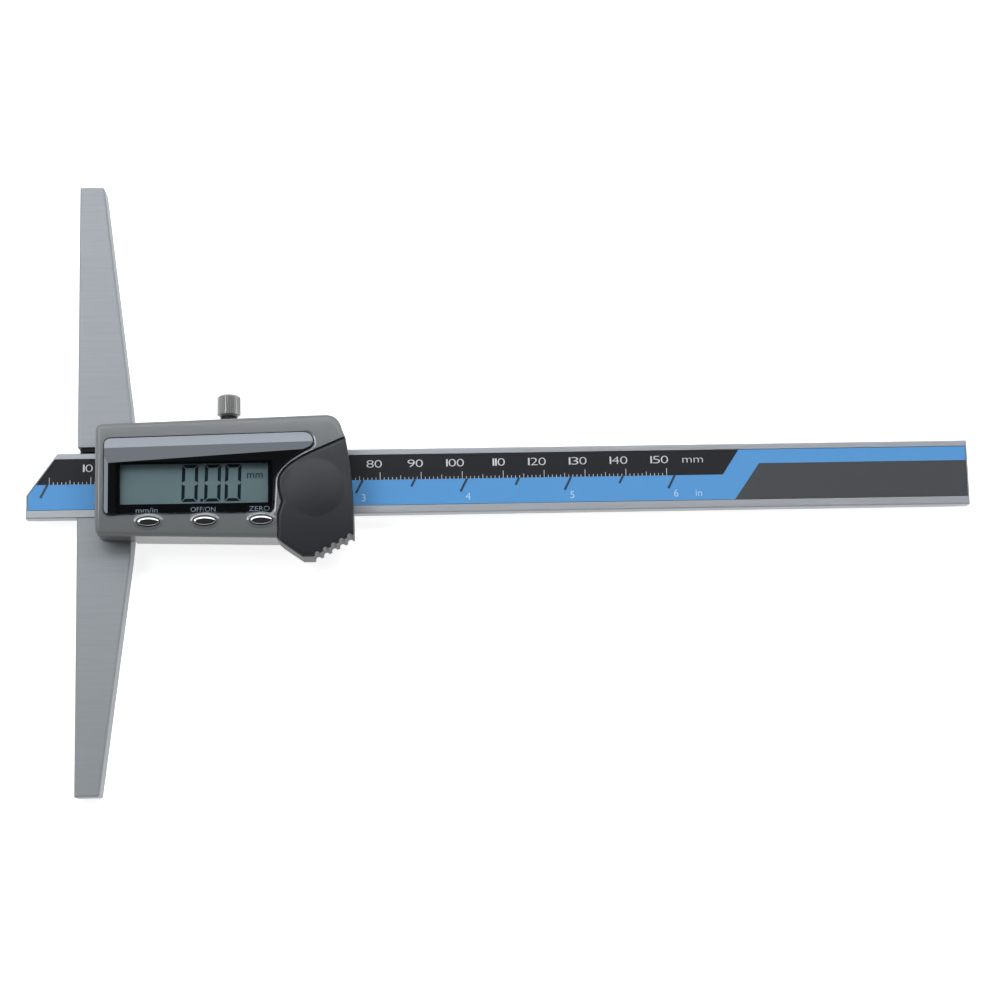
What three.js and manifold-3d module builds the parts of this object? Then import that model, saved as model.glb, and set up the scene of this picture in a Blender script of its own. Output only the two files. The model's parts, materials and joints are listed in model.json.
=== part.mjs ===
// Digital depth gauge for 150 mm, with a slim beam that slides through a long crosspiece.
// Sizes are millimetres. X runs along the beam towards its tail, Y along the crosspiece and
// Z up out of the display. Every height is counted from the back plane that the gauge lies on,
// and the last group moves the origin to the measuring face, in the middle of the web behind the beam.

import * as THREE from 'three';
import { mergeVertices } from 'three/addons/utils/BufferGeometryUtils.js';
import Module from 'manifold-3d';

const wasm = await Module();
wasm.setup();

// Gaps between pieces
const slidingGap = 0.1; // between the beam and the faces that guide it
const seatGap = 0.05; // between faces that rest on each other
const mouldGap = 0.2; // around moulded pieces in their pockets
const looseGap = 0.3; // around pieces that only have to clear each other
const threadGap = 0.15; // around screws in their holes
const adhesive = 0.05; // glue film under the strip and the label
const overrun = 2; // how far a cut passes the face that it opens

// Facets of round shapes
const arcSteps = 6;
const roundSteps = 24;
const boreSteps = 20;
const roundingSteps = 3;

// Beam with its scale
const beamLength = 230;
const beamWidth = 16;
const beamThickness = 3.8;
const tipReach = 12.4; // the tip stands this far out of the measuring face at rest
const tipFlat = 5.8;
const tipChamferRun = 7.4;
const beamEdgeBreak = 0.25;
const labelTopMargin = 1.45;
const labelBottomMargin = 2;
const labelEndMargin = 0.4;
const stripThickness = 0.5;
const labelThickness = 0.2;

// Crosspiece
const crosspieceLength = 150;
const crosspieceThickness = 7;
const crosspieceEndWidth = 6.3;
const crosspieceMiddleWidth = 13.5;
const crosspieceMiddleLength = 37;
const crosspieceEdgeBreak = 0.3;
const crosspieceCornerRadius = 0.8;
const webThickness = 2.4;

// Slider frame behind the display, lapped into the crosspiece
const frameRailWidth = 3.2;
const frameEndGap = 0.9; // from the frame to the end of the housing's hollow
const lapLength = 6;
const lapThickness = 3;

// Gib, its set screws and the lock screw
const gibThickness = 0.9;
const gibTravel = 0.25; // the lock screw pushes the gib this far against the beam
const gibSetback = 0.6;
const gibScrewRadius = 1;
const gibScrewSlotWidth = 0.4;
const gibScrewSlotDepth = 0.6;
const gibScrewLeftInset = 5.5; // from the housing screw beside it
const gibScrewRightInset = 6.8;
const lockOffset = 1.1; // to the left of the middle between the set screws
const lockShankRadius = 1.25;
const lockNeckRadius = 2.08;
const lockNeckLength = 4.5;
const lockNeckStandoff = 0.45;
const knobRadius = 2.85;
const knobLength = 5.3;
const knobChamfer = 0.45;
const knurlDepth = 0.18;
const knurlCount = 24;

// Head outline
const headLeftX = 5.3;
const headSideWall = 1.05;
const headEndWall = 4.5;
const headFlare = 1.45; // the right end is this much wider on each side than the left end
const headTopLean = 1.8; // the right end's top lies this far inside its foremost place
const headCornerRun = 6.7; // over which the long edges turn into the right end
const headShoulderRun = 2.6; // the same for the right end's upper corner
const headShoulderDrop = 3.8;
const headShoulderLean = 0.8;
const headLeftCorner = 2;
const headLowCorner = 3.6;
const headFrontRounding = 1.3;
const skirtHeight = 3; // the skirts start this far above the back plane

// Housing walls
const frontWall = 2.3;
const deckDrop = 1.25; // the deck under the battery cover lies this far below the front
const bossRadius = 1.6;

// Screws with a countersunk cross head, through the back
const screwRadius = 0.8;
const screwHeadRadius = 1.3;
const lapScrewInset = 2.9; // from the tongue's end
const lapScrewTopGap = 1.2; // from the screw's tip to the crosspiece's front
const housingScrewTopGap = 1.6; // from the screw's tip to the housing's ceiling
const screwHeadDepth = 1;
const screwHeadSink = 0.1;
const screwTipLength = 0.4;
const recessWidthShare = 0.34; // of the head radius
const recessReachShare = 0.62; // of the head radius
const recessDepthShare = 0.75; // of the head depth
const housingScrewLeftInset = 3.95; // from the frame's left end
const housingScrewRightInset = 2.7; // from the frame's right end

// Display window
const windowLeftMargin = 2.1;
const windowTopMargin = 3.85;
const windowTopRise = 0.85; // the upper edge climbs this much to the right
const windowTopRightRun = 0.4; // the upper right corner lies this far past the seam's top
const windowBottomMargin = 4.65;
const windowCorner = 1.8;
const windowTopRightCorner = 3;
const windowSeatDepth = 1.3;
const windowThickness = 1.8;
const windowLedge = 0.8;
const windowRounding = 0.6;
const maskThickness = 0.3;

// Display behind the window
const viewLength = 35.3;
const viewLeftMargin = 3.8;
const viewTopMargin = 6.4;
const viewBottomMargin = 2.85;
const lcdThickness = 1.8;
const lcdMarginX = 1.4;
const lcdMarginY = 1.5;
const lcdFrameWall = 0.75;
const zebraWidth = 1.5;
const zebraEndInset = 5.5;

// Circuit board and what it carries
const sensorGap = 0.2; // between the beam's scale and the board's sensor side
const boardThickness = 1;
const chipLength = 8;
const chipWidth = 7;
const chipHeight = 1.4;
const membraneThickness = 0.5;
const membraneDomeHeight = 1.65;
const membraneDomeRadius = 1.6;
const membraneDomeTopRadius = 1.1;
const membraneWidth = 3.1;
const membraneEndMargin = 2.6;

// Push buttons
const buttonCount = 3;
const buttonLeftMargin = 12.8; // from the head's left end to the first button
const buttonRightMargin = 3.9; // from the last button to the battery cover
const buttonDrop = 1.55; // below the window's lower edge
const buttonHalfLength = 2.92;
const buttonHalfWidth = 1.4;
const buttonProud = 0.55;
const buttonDome = 0.45;
const buttonTravel = 0.4;
const buttonFlangeMargin = 0.45;
const buttonFlangeThickness = 0.6;
const buttonStemRadius = 1.2;
const buttonPocketTopWall = 1.3;
const collarHalfLength = 3.8;
const collarHalfWidth = 2.4;
const collarHeight = 0.35;
const collarSlope = 0.5;
const browRise = 0.86;

// Coin cell with its contacts
const cellY = -2.9;
const cellRadius = 5.8;
const cellHeight = 5.4;
const cellCapInset = 0.9;
const cellCapHeight = 0.9;
const cellSeamMargin = 3.4; // from the cell to the seam's waist
const cellEndMargin = 3.3; // from the cell to the head's right end
const cellFrontGap = 0.1; // from the cell to the battery cover
const cellBottomRise = 1.5; // of the cell above the board
const cellPocketWall = 1;
const pocketFootGap = 1.1; // from the board to the pocket's lower rim
const contactThickness = 0.2;
const contactWidth = 3;
const contactFootLength = 2.2;
const contactLeafDrop = 2.1; // the leaf ends this far below the cell's front

// Battery cover with its thumb rest
const coverPlate = 1;
const coverWall = 1.2;
const coverLowZ = 5;
const coverRounding = 0.9;
const coverTopDrop = 2.1; // below the head's upper right shoulder
const coverLeftRun = 0.2; // from the seam's waist to the cover's left edge
const coverRightRise = 0.8;
const thumbStartRun = 1.1;
const thumbStartDrop = 1;
const thumbTipRun = 5.8;
const thumbTipLength = 2.6;
const thumbReach = 4.3; // the thumb rest stands this far out of the head's lower edge
const thumbGrooveCount = 5;
const thumbGrooveRadius = 0.7;
const coverDomeMargin = 1.4; // the dome reaches this far past the cell
const coverDomeHeight = 0.4;
const coverDomeSteps = 3;

// The curved seam between window and battery cover, with a top, a waist and a foot
const viewSeamMargin = 2.1; // from the display's view to the waist
const seamTopRun = 8.6; // from the waist to the top
const seamTopDrop = 4.35; // below the window's upper right corner
const seamWaistRise = 4.6; // above the foot
const seamFootRun = 0.9; // from the waist to the foot
const seamFootRise = 2.9; // above the window's lower edge
const seamRib = 0.45; // half the width of the rib of housing along the seam

// Heights of the stack, from the back plane
const beamBackZ = webThickness + slidingGap;
const beamFrontZ = beamBackZ + beamThickness;
const grooveFloorZ = beamFrontZ - stripThickness - labelThickness - 2 * adhesive;
const stripBackZ = grooveFloorZ + adhesive;
const labelBackZ = stripBackZ + stripThickness + adhesive;
const boardBackZ = beamFrontZ + sensorGap;
const boardFrontZ = boardBackZ + boardThickness;
const railFrontZ = boardBackZ - seatGap;
const cellBackZ = boardFrontZ + cellBottomRise;
const cellFrontZ = cellBackZ + cellHeight;
const headHeight = cellFrontZ + cellFrontGap + coverPlate;
const ceilingZ = headHeight - frontWall;
const deckZ = headHeight - deckDrop;
const windowBackZ = headHeight - windowSeatDepth + seatGap;
const windowFrontZ = windowBackZ + windowThickness;
const maskBackZ = windowBackZ - seatGap - maskThickness;
const lcdFrontZ = ceilingZ - seatGap;
const lcdBackZ = lcdFrontZ - lcdThickness;
const lockZ = beamBackZ + beamThickness / 2;

// Places shared by several pieces, across the beam
const beamHalf = beamWidth / 2;
const slotBottomY = -beamHalf - slidingGap;
const gibBottomY = beamHalf + gibTravel + seatGap;
const gibTopY = gibBottomY + gibThickness;
const slotTopY = gibTopY + slidingGap;
const frameHalfWidth = slotTopY + frameRailWidth;
const screwLineY = slotTopY + frameRailWidth / 2;
const cavityHalfWidth = frameHalfWidth + mouldGap;
const headLeftHalfWidth = cavityHalfWidth + headSideWall;
const headRightHalfWidth = headLeftHalfWidth + headFlare;
const headShoulderY = headRightHalfWidth - headShoulderDrop;
const windowTopLeftY = headLeftHalfWidth - windowTopMargin;
const windowTopRightY = windowTopLeftY + windowTopRise;
const windowBottomY = windowBottomMargin - headLeftHalfWidth;
const viewTopY = windowTopLeftY - viewTopMargin;
const viewBottomY = windowBottomY + viewBottomMargin;
const buttonY = windowBottomY - buttonDrop;
const buttonFlangeTopY = buttonY + buttonHalfWidth + buttonFlangeMargin;
const lcdTopY = viewTopY + lcdMarginY;
const lcdBottomY = buttonFlangeTopY + looseGap + lcdFrameWall + mouldGap;
const seamTopY = windowTopRightY - seamTopDrop;
const seamFootY = windowBottomY + seamFootRise;
const seamWaistY = seamFootY + seamWaistRise;
const coverTopY = headShoulderY - coverTopDrop;
const coverLeftTopY = windowBottomY - mouldGap;
const coverRightLowY = coverRightRise - headRightHalfWidth;
const thumbStartY = -headRightHalfWidth - thumbStartDrop;
const thumbTipY = -headRightHalfWidth - thumbReach;

// The same, along the beam
const tipX = -tipReach;
const tailX = tipX + beamLength;
const frameStartX = crosspieceMiddleWidth + seatGap;
const boardStartX = crosspieceMiddleWidth + 2 * looseGap;
const tongueStartX = crosspieceMiddleWidth - lapLength;
const windowLeftX = headLeftX + windowLeftMargin;
const viewLeftX = windowLeftX + viewLeftMargin;
const viewRightX = viewLeftX + viewLength;
const lcdLeftX = viewLeftX - lcdMarginX;
const lcdRightX = viewRightX + lcdMarginX;
const seamWaistX = viewRightX + viewSeamMargin;
const seamTopX = seamWaistX + seamTopRun;
const seamFootX = seamWaistX + seamFootRun;
const windowTopRightX = seamTopX + windowTopRightRun;
const cellX = seamWaistX + cellSeamMargin + cellRadius;
const headRightX = cellX + cellRadius + cellEndMargin;
const headTopRightX = headRightX - headTopLean;
const headCornerX = headRightX - headCornerRun;
const headShoulderX = headRightX - headShoulderRun;
const cavityRightX = headRightX - headEndWall;
const frameEndX = cavityRightX - frameEndGap;
const coverLeftX = seamWaistX + coverLeftRun;
const thumbStartX = coverLeftX + thumbStartRun;
const thumbTipLeftX = coverLeftX + thumbTipRun;
const thumbTipRightX = thumbTipLeftX + thumbTipLength;
const buttonFirstX = headLeftX + buttonLeftMargin;
const buttonLastX = coverLeftX - buttonRightMargin;
const buttonPitch = (buttonLastX - buttonFirstX) / (buttonCount - 1);
const buttonPlaces = Array.from({ length: buttonCount }, (_, i) => buttonFirstX + i * buttonPitch);
const lapScrewX = tongueStartX + lapScrewInset;
const housingScrewLeftX = frameStartX + housingScrewLeftInset;
const housingScrewRightX = frameEndX - housingScrewRightInset;
const gibScrewLeftX = housingScrewLeftX + gibScrewLeftInset;
const gibScrewRightX = housingScrewRightX - gibScrewRightInset;
const lockX = (gibScrewLeftX + gibScrewRightX) / 2 - lockOffset;
const housingScrewPlaces = [
  { name: 'housing_screw_top_left', x: housingScrewLeftX, y: screwLineY },
  { name: 'housing_screw_top_right', x: housingScrewRightX, y: screwLineY },
  { name: 'housing_screw_low_left', x: buttonFirstX + buttonPitch / 2, y: -screwLineY },
  { name: 'housing_screw_low_right', x: buttonLastX + buttonPitch / 2, y: -screwLineY },
];
const lapScrewPlaces = [
  { name: 'crosspiece_screw_top', x: lapScrewX, y: screwLineY },
  { name: 'crosspiece_screw_low', x: lapScrewX, y: -screwLineY },
];

// Sizes that follow from the heights and places
const gibHeight = beamThickness - 2 * slidingGap;
const lapScrewLength = crosspieceThickness - lapScrewTopGap;
const housingScrewLength = ceilingZ - housingScrewTopGap;
const cellCapRadius = cellRadius - cellCapInset;
const contactLeafHeight = cellFrontZ - contactLeafDrop - boardFrontZ - seatGap;
const coverDomeRadius = cellRadius + coverDomeMargin;

// Outlines

// Anticlockwise points of an outline that a function draws on a shape.
function outline(draw, divisions = arcSteps) {
  const shape = new THREE.Shape();
  draw(shape);
  const points = shape.getPoints(divisions);
  if (points[0].equals(points[points.length - 1])) points.pop();
  return THREE.ShapeUtils.isClockWise(points) ? points.reverse() : points;
}

// The same outline moved outwards, or inwards where the distance is negative.
function offset(points, distance) {
  return points.map((point, i) => {
    const before = points[(i + points.length - 1) % points.length];
    const after = points[(i + 1) % points.length];
    const arriving = point.clone().sub(before).normalize();
    const leaving = after.clone().sub(point).normalize();
    const normal = new THREE.Vector2(arriving.y, -arriving.x);
    const bisector = new THREE.Vector2(leaving.y, -leaving.x).add(normal).normalize();
    return point.clone().addScaledVector(bisector, distance / bisector.dot(normal));
  });
}

function ellipse(x, y, halfLength, halfWidth, steps = roundSteps) {
  return outline((shape) => shape.absellipse(x, y, halfLength, halfWidth, 0, 2 * Math.PI), steps);
}

// Geometry of plain bodies

// A closed body through outlines of equal point counts, listed from the lowest to the highest.
function stack(layers) {
  const count = layers[0].points.length;
  const positions = layers.flatMap(({ points, z }) => points.flatMap((point) => [point.x, point.y, z]));
  const index = [];
  for (let level = 0; level < layers.length - 1; level++) {
    for (let i = 0; i < count; i++) {
      const low = level * count + i;
      const next = level * count + ((i + 1) % count);
      index.push(low, next, next + count, low, next + count, low + count);
    }
  }
  const cap = (layer, facesUp) => {
    const { points } = layers[layer];
    for (const face of THREE.ShapeUtils.triangulateShape(points, [])) {
      const turnsLeft = THREE.ShapeUtils.area(face.map((corner) => points[corner])) > 0;
      const corners = turnsLeft === facesUp ? face : [...face].reverse();
      index.push(...corners.map((corner) => corner + layer * count));
    }
  };
  cap(0, false);
  cap(layers.length - 1, true);
  const geometry = new THREE.BufferGeometry();
  geometry.setAttribute('position', new THREE.Float32BufferAttribute(positions, 3));
  geometry.setIndex(index);
  return geometry;
}

function slab(points, low, high) {
  return stack([
    { points, z: low },
    { points, z: high },
  ]);
}

// A slab with both rims chamfered.
function brokenSlab(points, low, high, chamfer) {
  const inner = offset(points, -chamfer);
  return stack([
    { points: inner, z: low },
    { points, z: low + chamfer },
    { points, z: high - chamfer },
    { points: inner, z: high },
  ]);
}

// A slab with its upper rim rounded.
function softSlab(points, low, high, radius) {
  const layers = [{ points, z: low }];
  for (let step = 0; step <= roundingSteps; step++) {
    const angle = (step / roundingSteps) * (Math.PI / 2);
    const inset = radius * (1 - Math.cos(angle));
    layers.push({ points: offset(points, -inset), z: high - radius + radius * Math.sin(angle) });
  }
  return stack(layers);
}

function box(lowX, highX, lowY, highY, lowZ, highZ) {
  const geometry = new THREE.BoxGeometry(highX - lowX, highY - lowY, highZ - lowZ);
  return geometry.translate((lowX + highX) / 2, (lowY + highY) / 2, (lowZ + highZ) / 2);
}

// A body turned about the Y axis from pairs of radius and height, from one end of the axis to the other.
function turned(profile, steps = boreSteps) {
  const points = profile.map(([radius, height]) => new THREE.Vector2(radius, height));
  return new THREE.LatheGeometry(points, steps);
}

// The same, standing along Z.
function turnedUp(profile, steps = boreSteps) {
  return turned(profile, steps).rotateX(Math.PI / 2);
}

function rod(radius, low, high) {
  return [
    [0, low],
    [radius, low],
    [radius, high],
    [0, high],
  ];
}

function boreAlongZ(x, y, radius, low, high) {
  return turnedUp(rod(radius, low, high)).translate(x, y, 0);
}

function boreAlongY(x, z, radius, low, high) {
  return turned(rod(radius, low, high)).translate(x, 0, z);
}

// Cutting and joining

function toSolid(geometry) {
  const bare = new THREE.BufferGeometry();
  bare.setAttribute('position', geometry.getAttribute('position'));
  bare.setIndex(geometry.getIndex());
  const merged = mergeVertices(bare);
  const corners = merged.getIndex().array;
  const triangles = [];
  for (let i = 0; i < corners.length; i += 3) {
    const face = [corners[i], corners[i + 1], corners[i + 2]];
    if (new Set(face).size === 3) triangles.push(...face);
  }
  const vertProperties = new Float32Array(merged.getAttribute('position').array);
  const triVerts = new Uint32Array(triangles);
  return new wasm.Manifold(new wasm.Mesh({ numProp: 3, vertProperties, triVerts }));
}

function toGeometry(solid) {
  const mesh = solid.getMesh();
  const geometry = new THREE.BufferGeometry();
  geometry.setAttribute('position', new THREE.Float32BufferAttribute(mesh.vertProperties, 3));
  geometry.setIndex([...mesh.triVerts]);
  return geometry;
}

function cut(geometry, ...tools) {
  return toGeometry(tools.reduce((solid, tool) => solid.subtract(toSolid(tool)), toSolid(geometry)));
}

function join(geometry, ...others) {
  return toGeometry(others.reduce((solid, other) => solid.add(toSolid(other)), toSolid(geometry)));
}

function common(geometry, other) {
  return toGeometry(toSolid(geometry).intersect(toSolid(other)));
}

// Beam

const beamOutline = outline((shape) => {
  shape.moveTo(tipX, -beamHalf);
  shape.lineTo(tailX, -beamHalf);
  shape.lineTo(tailX, beamHalf);
  shape.lineTo(tipX + tipChamferRun, beamHalf);
  shape.lineTo(tipX, -beamHalf + tipFlat);
});

// What fills the beam's shallow front groove between two heights, a gap inside its walls.
function grooveFill(gap, low, high) {
  const bottomY = -beamHalf + labelBottomMargin + gap;
  const topY = beamHalf - labelTopMargin - gap;
  return common(
    slab(offset(beamOutline, -labelEndMargin - gap), low, high),
    box(tipX - overrun, tailX + overrun, bottomY, topY, low - overrun, high + overrun),
  );
}

function beam() {
  const bar = brokenSlab(beamOutline, beamBackZ, beamFrontZ, beamEdgeBreak);
  return cut(bar, grooveFill(0, grooveFloorZ, beamFrontZ + overrun));
}

function scaleStrip() {
  return grooveFill(slidingGap, stripBackZ, stripBackZ + stripThickness);
}

function scaleLabel() {
  return grooveFill(slidingGap, labelBackZ, labelBackZ + labelThickness);
}

// Crosspiece and slider frame

// Half of the crosspiece's outline is a taper, and its outer corners are a little rounded.
function crosspieceOutline() {
  const halfLength = crosspieceLength / 2;
  const halfMiddle = crosspieceMiddleLength / 2;
  const corner = crosspieceCornerRadius;
  return outline((shape) => {
    shape.moveTo(0, -halfLength);
    shape.lineTo(crosspieceEndWidth - corner, -halfLength);
    shape.quadraticCurveTo(crosspieceEndWidth, -halfLength, crosspieceEndWidth, -halfLength + corner);
    shape.lineTo(crosspieceMiddleWidth, -halfMiddle);
    shape.lineTo(crosspieceMiddleWidth, halfMiddle);
    shape.lineTo(crosspieceEndWidth, halfLength - corner);
    shape.quadraticCurveTo(crosspieceEndWidth, halfLength, crosspieceEndWidth - corner, halfLength);
    shape.lineTo(0, halfLength);
  });
}

function crosspiece() {
  const bar = brokenSlab(crosspieceOutline(), 0, crosspieceThickness, crosspieceEdgeBreak);
  const endX = crosspieceMiddleWidth + overrun;
  const slot = box(-overrun, endX, slotBottomY, slotTopY, webThickness, crosspieceThickness + overrun);
  const lapX = tongueStartX - looseGap;
  const outerY = frameHalfWidth + looseGap;
  const topLap = box(lapX, endX, slotTopY - looseGap, outerY, -overrun, lapThickness);
  const lowLap = box(lapX, endX, -outerY, slotBottomY + looseGap, -overrun, lapThickness);
  const holeTop = lapScrewLength + looseGap + screwHeadSink;
  const holes = lapScrewPlaces.map(({ x, y }) => boreAlongZ(x, y, screwRadius + threadGap, 0, holeTop));
  return cut(bar, slot, topLap, lowLap, ...holes);
}

// The hole and countersink of a screw that enters from the back.
function screwPassage({ x, y }, top) {
  const bore = screwRadius + threadGap;
  const sink = screwHeadRadius + threadGap;
  const funnel = [
    [0, -overrun],
    [sink, -overrun],
    [sink, screwHeadSink],
    [bore, screwHeadSink + screwHeadDepth],
    [bore, top],
    [0, top],
  ];
  return turnedUp(funnel).translate(x, y, 0);
}

function sliderFrame() {
  const block = box(frameStartX, frameEndX, -frameHalfWidth, frameHalfWidth, 0, railFrontZ);
  const tongueTop = lapThickness - seatGap;
  const tongueEndX = frameStartX + overrun;
  const topTongue = box(tongueStartX, tongueEndX, slotTopY, frameHalfWidth, 0, tongueTop);
  const lowTongue = box(tongueStartX, tongueEndX, -frameHalfWidth, slotBottomY, 0, tongueTop);
  const channelEndX = frameEndX + overrun;
  const channel = box(tongueStartX, channelEndX, slotBottomY, slotTopY, webThickness, railFrontZ + overrun);
  const topZ = railFrontZ + overrun;
  const screwHoles = [...lapScrewPlaces, ...housingScrewPlaces].map((place) => screwPassage(place, topZ));
  const outY = frameHalfWidth + overrun;
  const gibHoles = [gibScrewLeftX, gibScrewRightX].map((x) =>
    boreAlongY(x, lockZ, gibScrewRadius + threadGap, slotTopY - overrun, outY));
  const lockHole = boreAlongY(lockX, lockZ, lockShankRadius + threadGap, slotTopY - overrun, outY);
  const frame = join(block, topTongue, lowTongue);
  return cut(frame, channel, ...screwHoles, ...gibHoles, lockHole);
}

// Gib and screws

function gib() {
  const lowZ = lockZ - gibHeight / 2;
  return box(gibSetback, frameEndX - looseGap, gibBottomY, gibTopY, lowZ, lowZ + gibHeight);
}

// A slotted set screw along Y, from the gib to just under the frame's edge.
function gibScrew() {
  const low = gibTopY + seatGap;
  const high = frameHalfWidth - seatGap;
  const slotHalf = gibScrewSlotWidth / 2;
  const reach = gibScrewRadius + overrun;
  return cut(
    turned(rod(gibScrewRadius, low, high)),
    box(-reach, reach, high - gibScrewSlotDepth, high + overrun, -slotHalf, slotHalf),
  );
}

// Lock screw along Y: shank, neck and knob with a straight knurl.
function lockScrew() {
  const shankLow = gibTopY + seatGap;
  const neckLow = frameHalfWidth + lockNeckStandoff;
  const neckHigh = neckLow + lockNeckLength;
  const stem = turned([
    [0, shankLow],
    [lockShankRadius, shankLow],
    [lockShankRadius, neckLow],
    [lockNeckRadius, neckLow],
    [lockNeckRadius, neckHigh + knobChamfer],
    [0, neckHigh + knobChamfer],
  ]);
  const knurled = Array.from({ length: 2 * knurlCount }, (_, i) => {
    const radius = i % 2 ? knobRadius - knurlDepth : knobRadius;
    const angle = (i / knurlCount) * Math.PI;
    return new THREE.Vector2(radius * Math.cos(angle), radius * Math.sin(angle));
  });
  const knob = brokenSlab(knurled, neckHigh, neckHigh + knobLength, knobChamfer);
  return join(stem, knob.rotateX(Math.PI / 2).rotateX(Math.PI));
}

// A cross head screw along Z with its head at the back.
function crossScrew(length) {
  const body = turnedUp([
    [0, 0],
    [screwHeadRadius, 0],
    [screwRadius, screwHeadDepth],
    [screwRadius, length - screwTipLength],
    [screwRadius - screwTipLength, length],
    [0, length],
  ]);
  const reach = screwHeadRadius * recessReachShare;
  const half = (screwHeadRadius * recessWidthShare) / 2;
  const depth = screwHeadDepth * recessDepthShare;
  return cut(
    body,
    box(-reach, reach, -half, half, -overrun, depth),
    box(-half, half, -reach, reach, -overrun, depth),
  );
}

// Circuit board and what it carries

function circuitBoard() {
  const board = box(boardStartX, frameEndX, -frameHalfWidth, frameHalfWidth, boardBackZ, boardFrontZ);
  const low = boardBackZ - overrun;
  const high = boardFrontZ + overrun;
  const holes = housingScrewPlaces.map(({ x, y }) => boreAlongZ(x, y, screwRadius + threadGap, low, high));
  return cut(board, ...holes);
}

function controllerChip() {
  const low = boardFrontZ + seatGap;
  const centreX = (lcdLeftX + lcdRightX) / 2;
  const centreY = (lcdBottomY + lcdTopY) / 2;
  return box(
    centreX - chipLength / 2,
    centreX + chipLength / 2,
    centreY - chipWidth / 2,
    centreY + chipWidth / 2,
    low,
    low + chipHeight,
  );
}

// Rubber sheet with a dome under each button.
function buttonMembrane() {
  const low = boardFrontZ + seatGap;
  const high = low + membraneThickness;
  const startX = buttonPlaces[0] - buttonHalfLength - buttonFlangeMargin;
  const endX = buttonPlaces[buttonCount - 1] + membraneEndMargin;
  const half = membraneWidth / 2;
  const sheet = box(startX, endX, buttonY - half, buttonY + half, low, high);
  const domes = buttonPlaces.map((x) => {
    const profile = [
      [0, low + membraneThickness / 2],
      [membraneDomeRadius, low + membraneThickness / 2],
      [membraneDomeRadius, high],
      [membraneDomeTopRadius, high + membraneDomeHeight],
      [0, high + membraneDomeHeight],
    ];
    return turnedUp(profile).translate(x, buttonY, 0);
  });
  const { x, y } = housingScrewPlaces.find(({ name }) => name === 'housing_screw_low_left');
  const hole = boreAlongZ(x, y, screwRadius + threadGap, low - overrun, high + overrun);
  return cut(join(sheet, ...domes), hole);
}

function lcdPanel() {
  return box(lcdLeftX, lcdRightX, lcdBottomY, lcdTopY, lcdBackZ, lcdFrontZ);
}

// Conductive rubber strip between the board and one edge of the display glass.
function zebraStrip(lowY) {
  const low = boardFrontZ + seatGap;
  const high = lcdBackZ - seatGap;
  return box(lcdLeftX + zebraEndInset, lcdRightX - seatGap, lowY, lowY + zebraWidth, low, high);
}

function lcdFrame() {
  const inner = mouldGap;
  const outer = inner + lcdFrameWall;
  const low = boardFrontZ + seatGap;
  const topZ = lcdFrontZ + overrun;
  return cut(
    box(lcdLeftX - outer, lcdRightX + outer, lcdBottomY - outer, lcdTopY + outer, low, lcdFrontZ),
    box(lcdLeftX - inner, lcdRightX + inner, lcdBottomY - inner, lcdTopY + inner, low - overrun, topZ),
  );
}

// Outlines on the front of the head

// The head widens a little from the crosspiece to its right end.
const headOutline = outline((shape) => {
  const left = headLeftHalfWidth;
  const right = headRightHalfWidth;
  shape.moveTo(headLeftX + headLeftCorner, -left);
  shape.lineTo(headCornerX, -right);
  shape.quadraticCurveTo(headRightX, -right, headRightX, coverRightLowY + headLowCorner);
  shape.quadraticCurveTo(headRightX, 0, headTopRightX, coverTopY);
  shape.lineTo(headShoulderX, headShoulderY);
  shape.quadraticCurveTo(headShoulderX - headShoulderLean, right, headCornerX, right);
  shape.lineTo(headLeftX + headLeftCorner, left);
  shape.quadraticCurveTo(headLeftX, left, headLeftX, left - headLeftCorner);
  shape.lineTo(headLeftX, -left + headLeftCorner);
  shape.quadraticCurveTo(headLeftX, -left, headLeftX + headLeftCorner, -left);
});

// The seam curve, shifted sideways, from its top to its foot.
function drawSeamDown(shape, side) {
  const waistX = seamWaistX + side;
  shape.lineTo(seamTopX + side, seamTopY - side);
  shape.quadraticCurveTo(waistX, seamWaistY + (seamTopY - seamWaistY) / 2, waistX, seamWaistY);
  shape.quadraticCurveTo(waistX, (seamWaistY + seamFootY) / 2, seamFootX + side, seamFootY);
}

const windowOutline = outline((shape) => {
  const corner = windowCorner;
  const topCorner = windowTopRightCorner;
  shape.moveTo(windowLeftX, windowTopLeftY - corner);
  shape.quadraticCurveTo(windowLeftX, windowTopLeftY, windowLeftX + corner, windowTopLeftY);
  shape.lineTo(windowTopRightX - topCorner, windowTopRightY);
  shape.quadraticCurveTo(windowTopRightX, windowTopRightY, windowTopRightX, windowTopRightY - topCorner);
  drawSeamDown(shape, -seamRib);
  shape.lineTo(buttonPlaces[buttonCount - 1] + collarHalfLength, windowBottomY);
  for (const x of [...buttonPlaces].reverse()) {
    shape.lineTo(x + collarHalfLength, windowBottomY);
    shape.quadraticCurveTo(x, windowBottomY + 2 * browRise, x - collarHalfLength, windowBottomY);
  }
  shape.lineTo(windowLeftX + corner, windowBottomY);
  shape.quadraticCurveTo(windowLeftX, windowBottomY, windowLeftX, windowBottomY + corner);
  shape.lineTo(windowLeftX, windowTopLeftY - corner);
});

const coverOutline = outline((shape) => {
  shape.moveTo(headTopRightX, coverTopY);
  drawSeamDown(shape, seamRib);
  shape.lineTo(coverLeftX, coverLeftTopY);
  shape.lineTo(coverLeftX, -headRightHalfWidth);
  shape.lineTo(thumbStartX, thumbStartY);
  shape.lineTo(thumbTipLeftX, thumbTipY);
  shape.lineTo(thumbTipRightX, thumbTipY);
  shape.lineTo(headRightX, coverRightLowY);
  shape.quadraticCurveTo(headRightX, 0, headTopRightX, coverTopY);
});

// Housing

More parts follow.
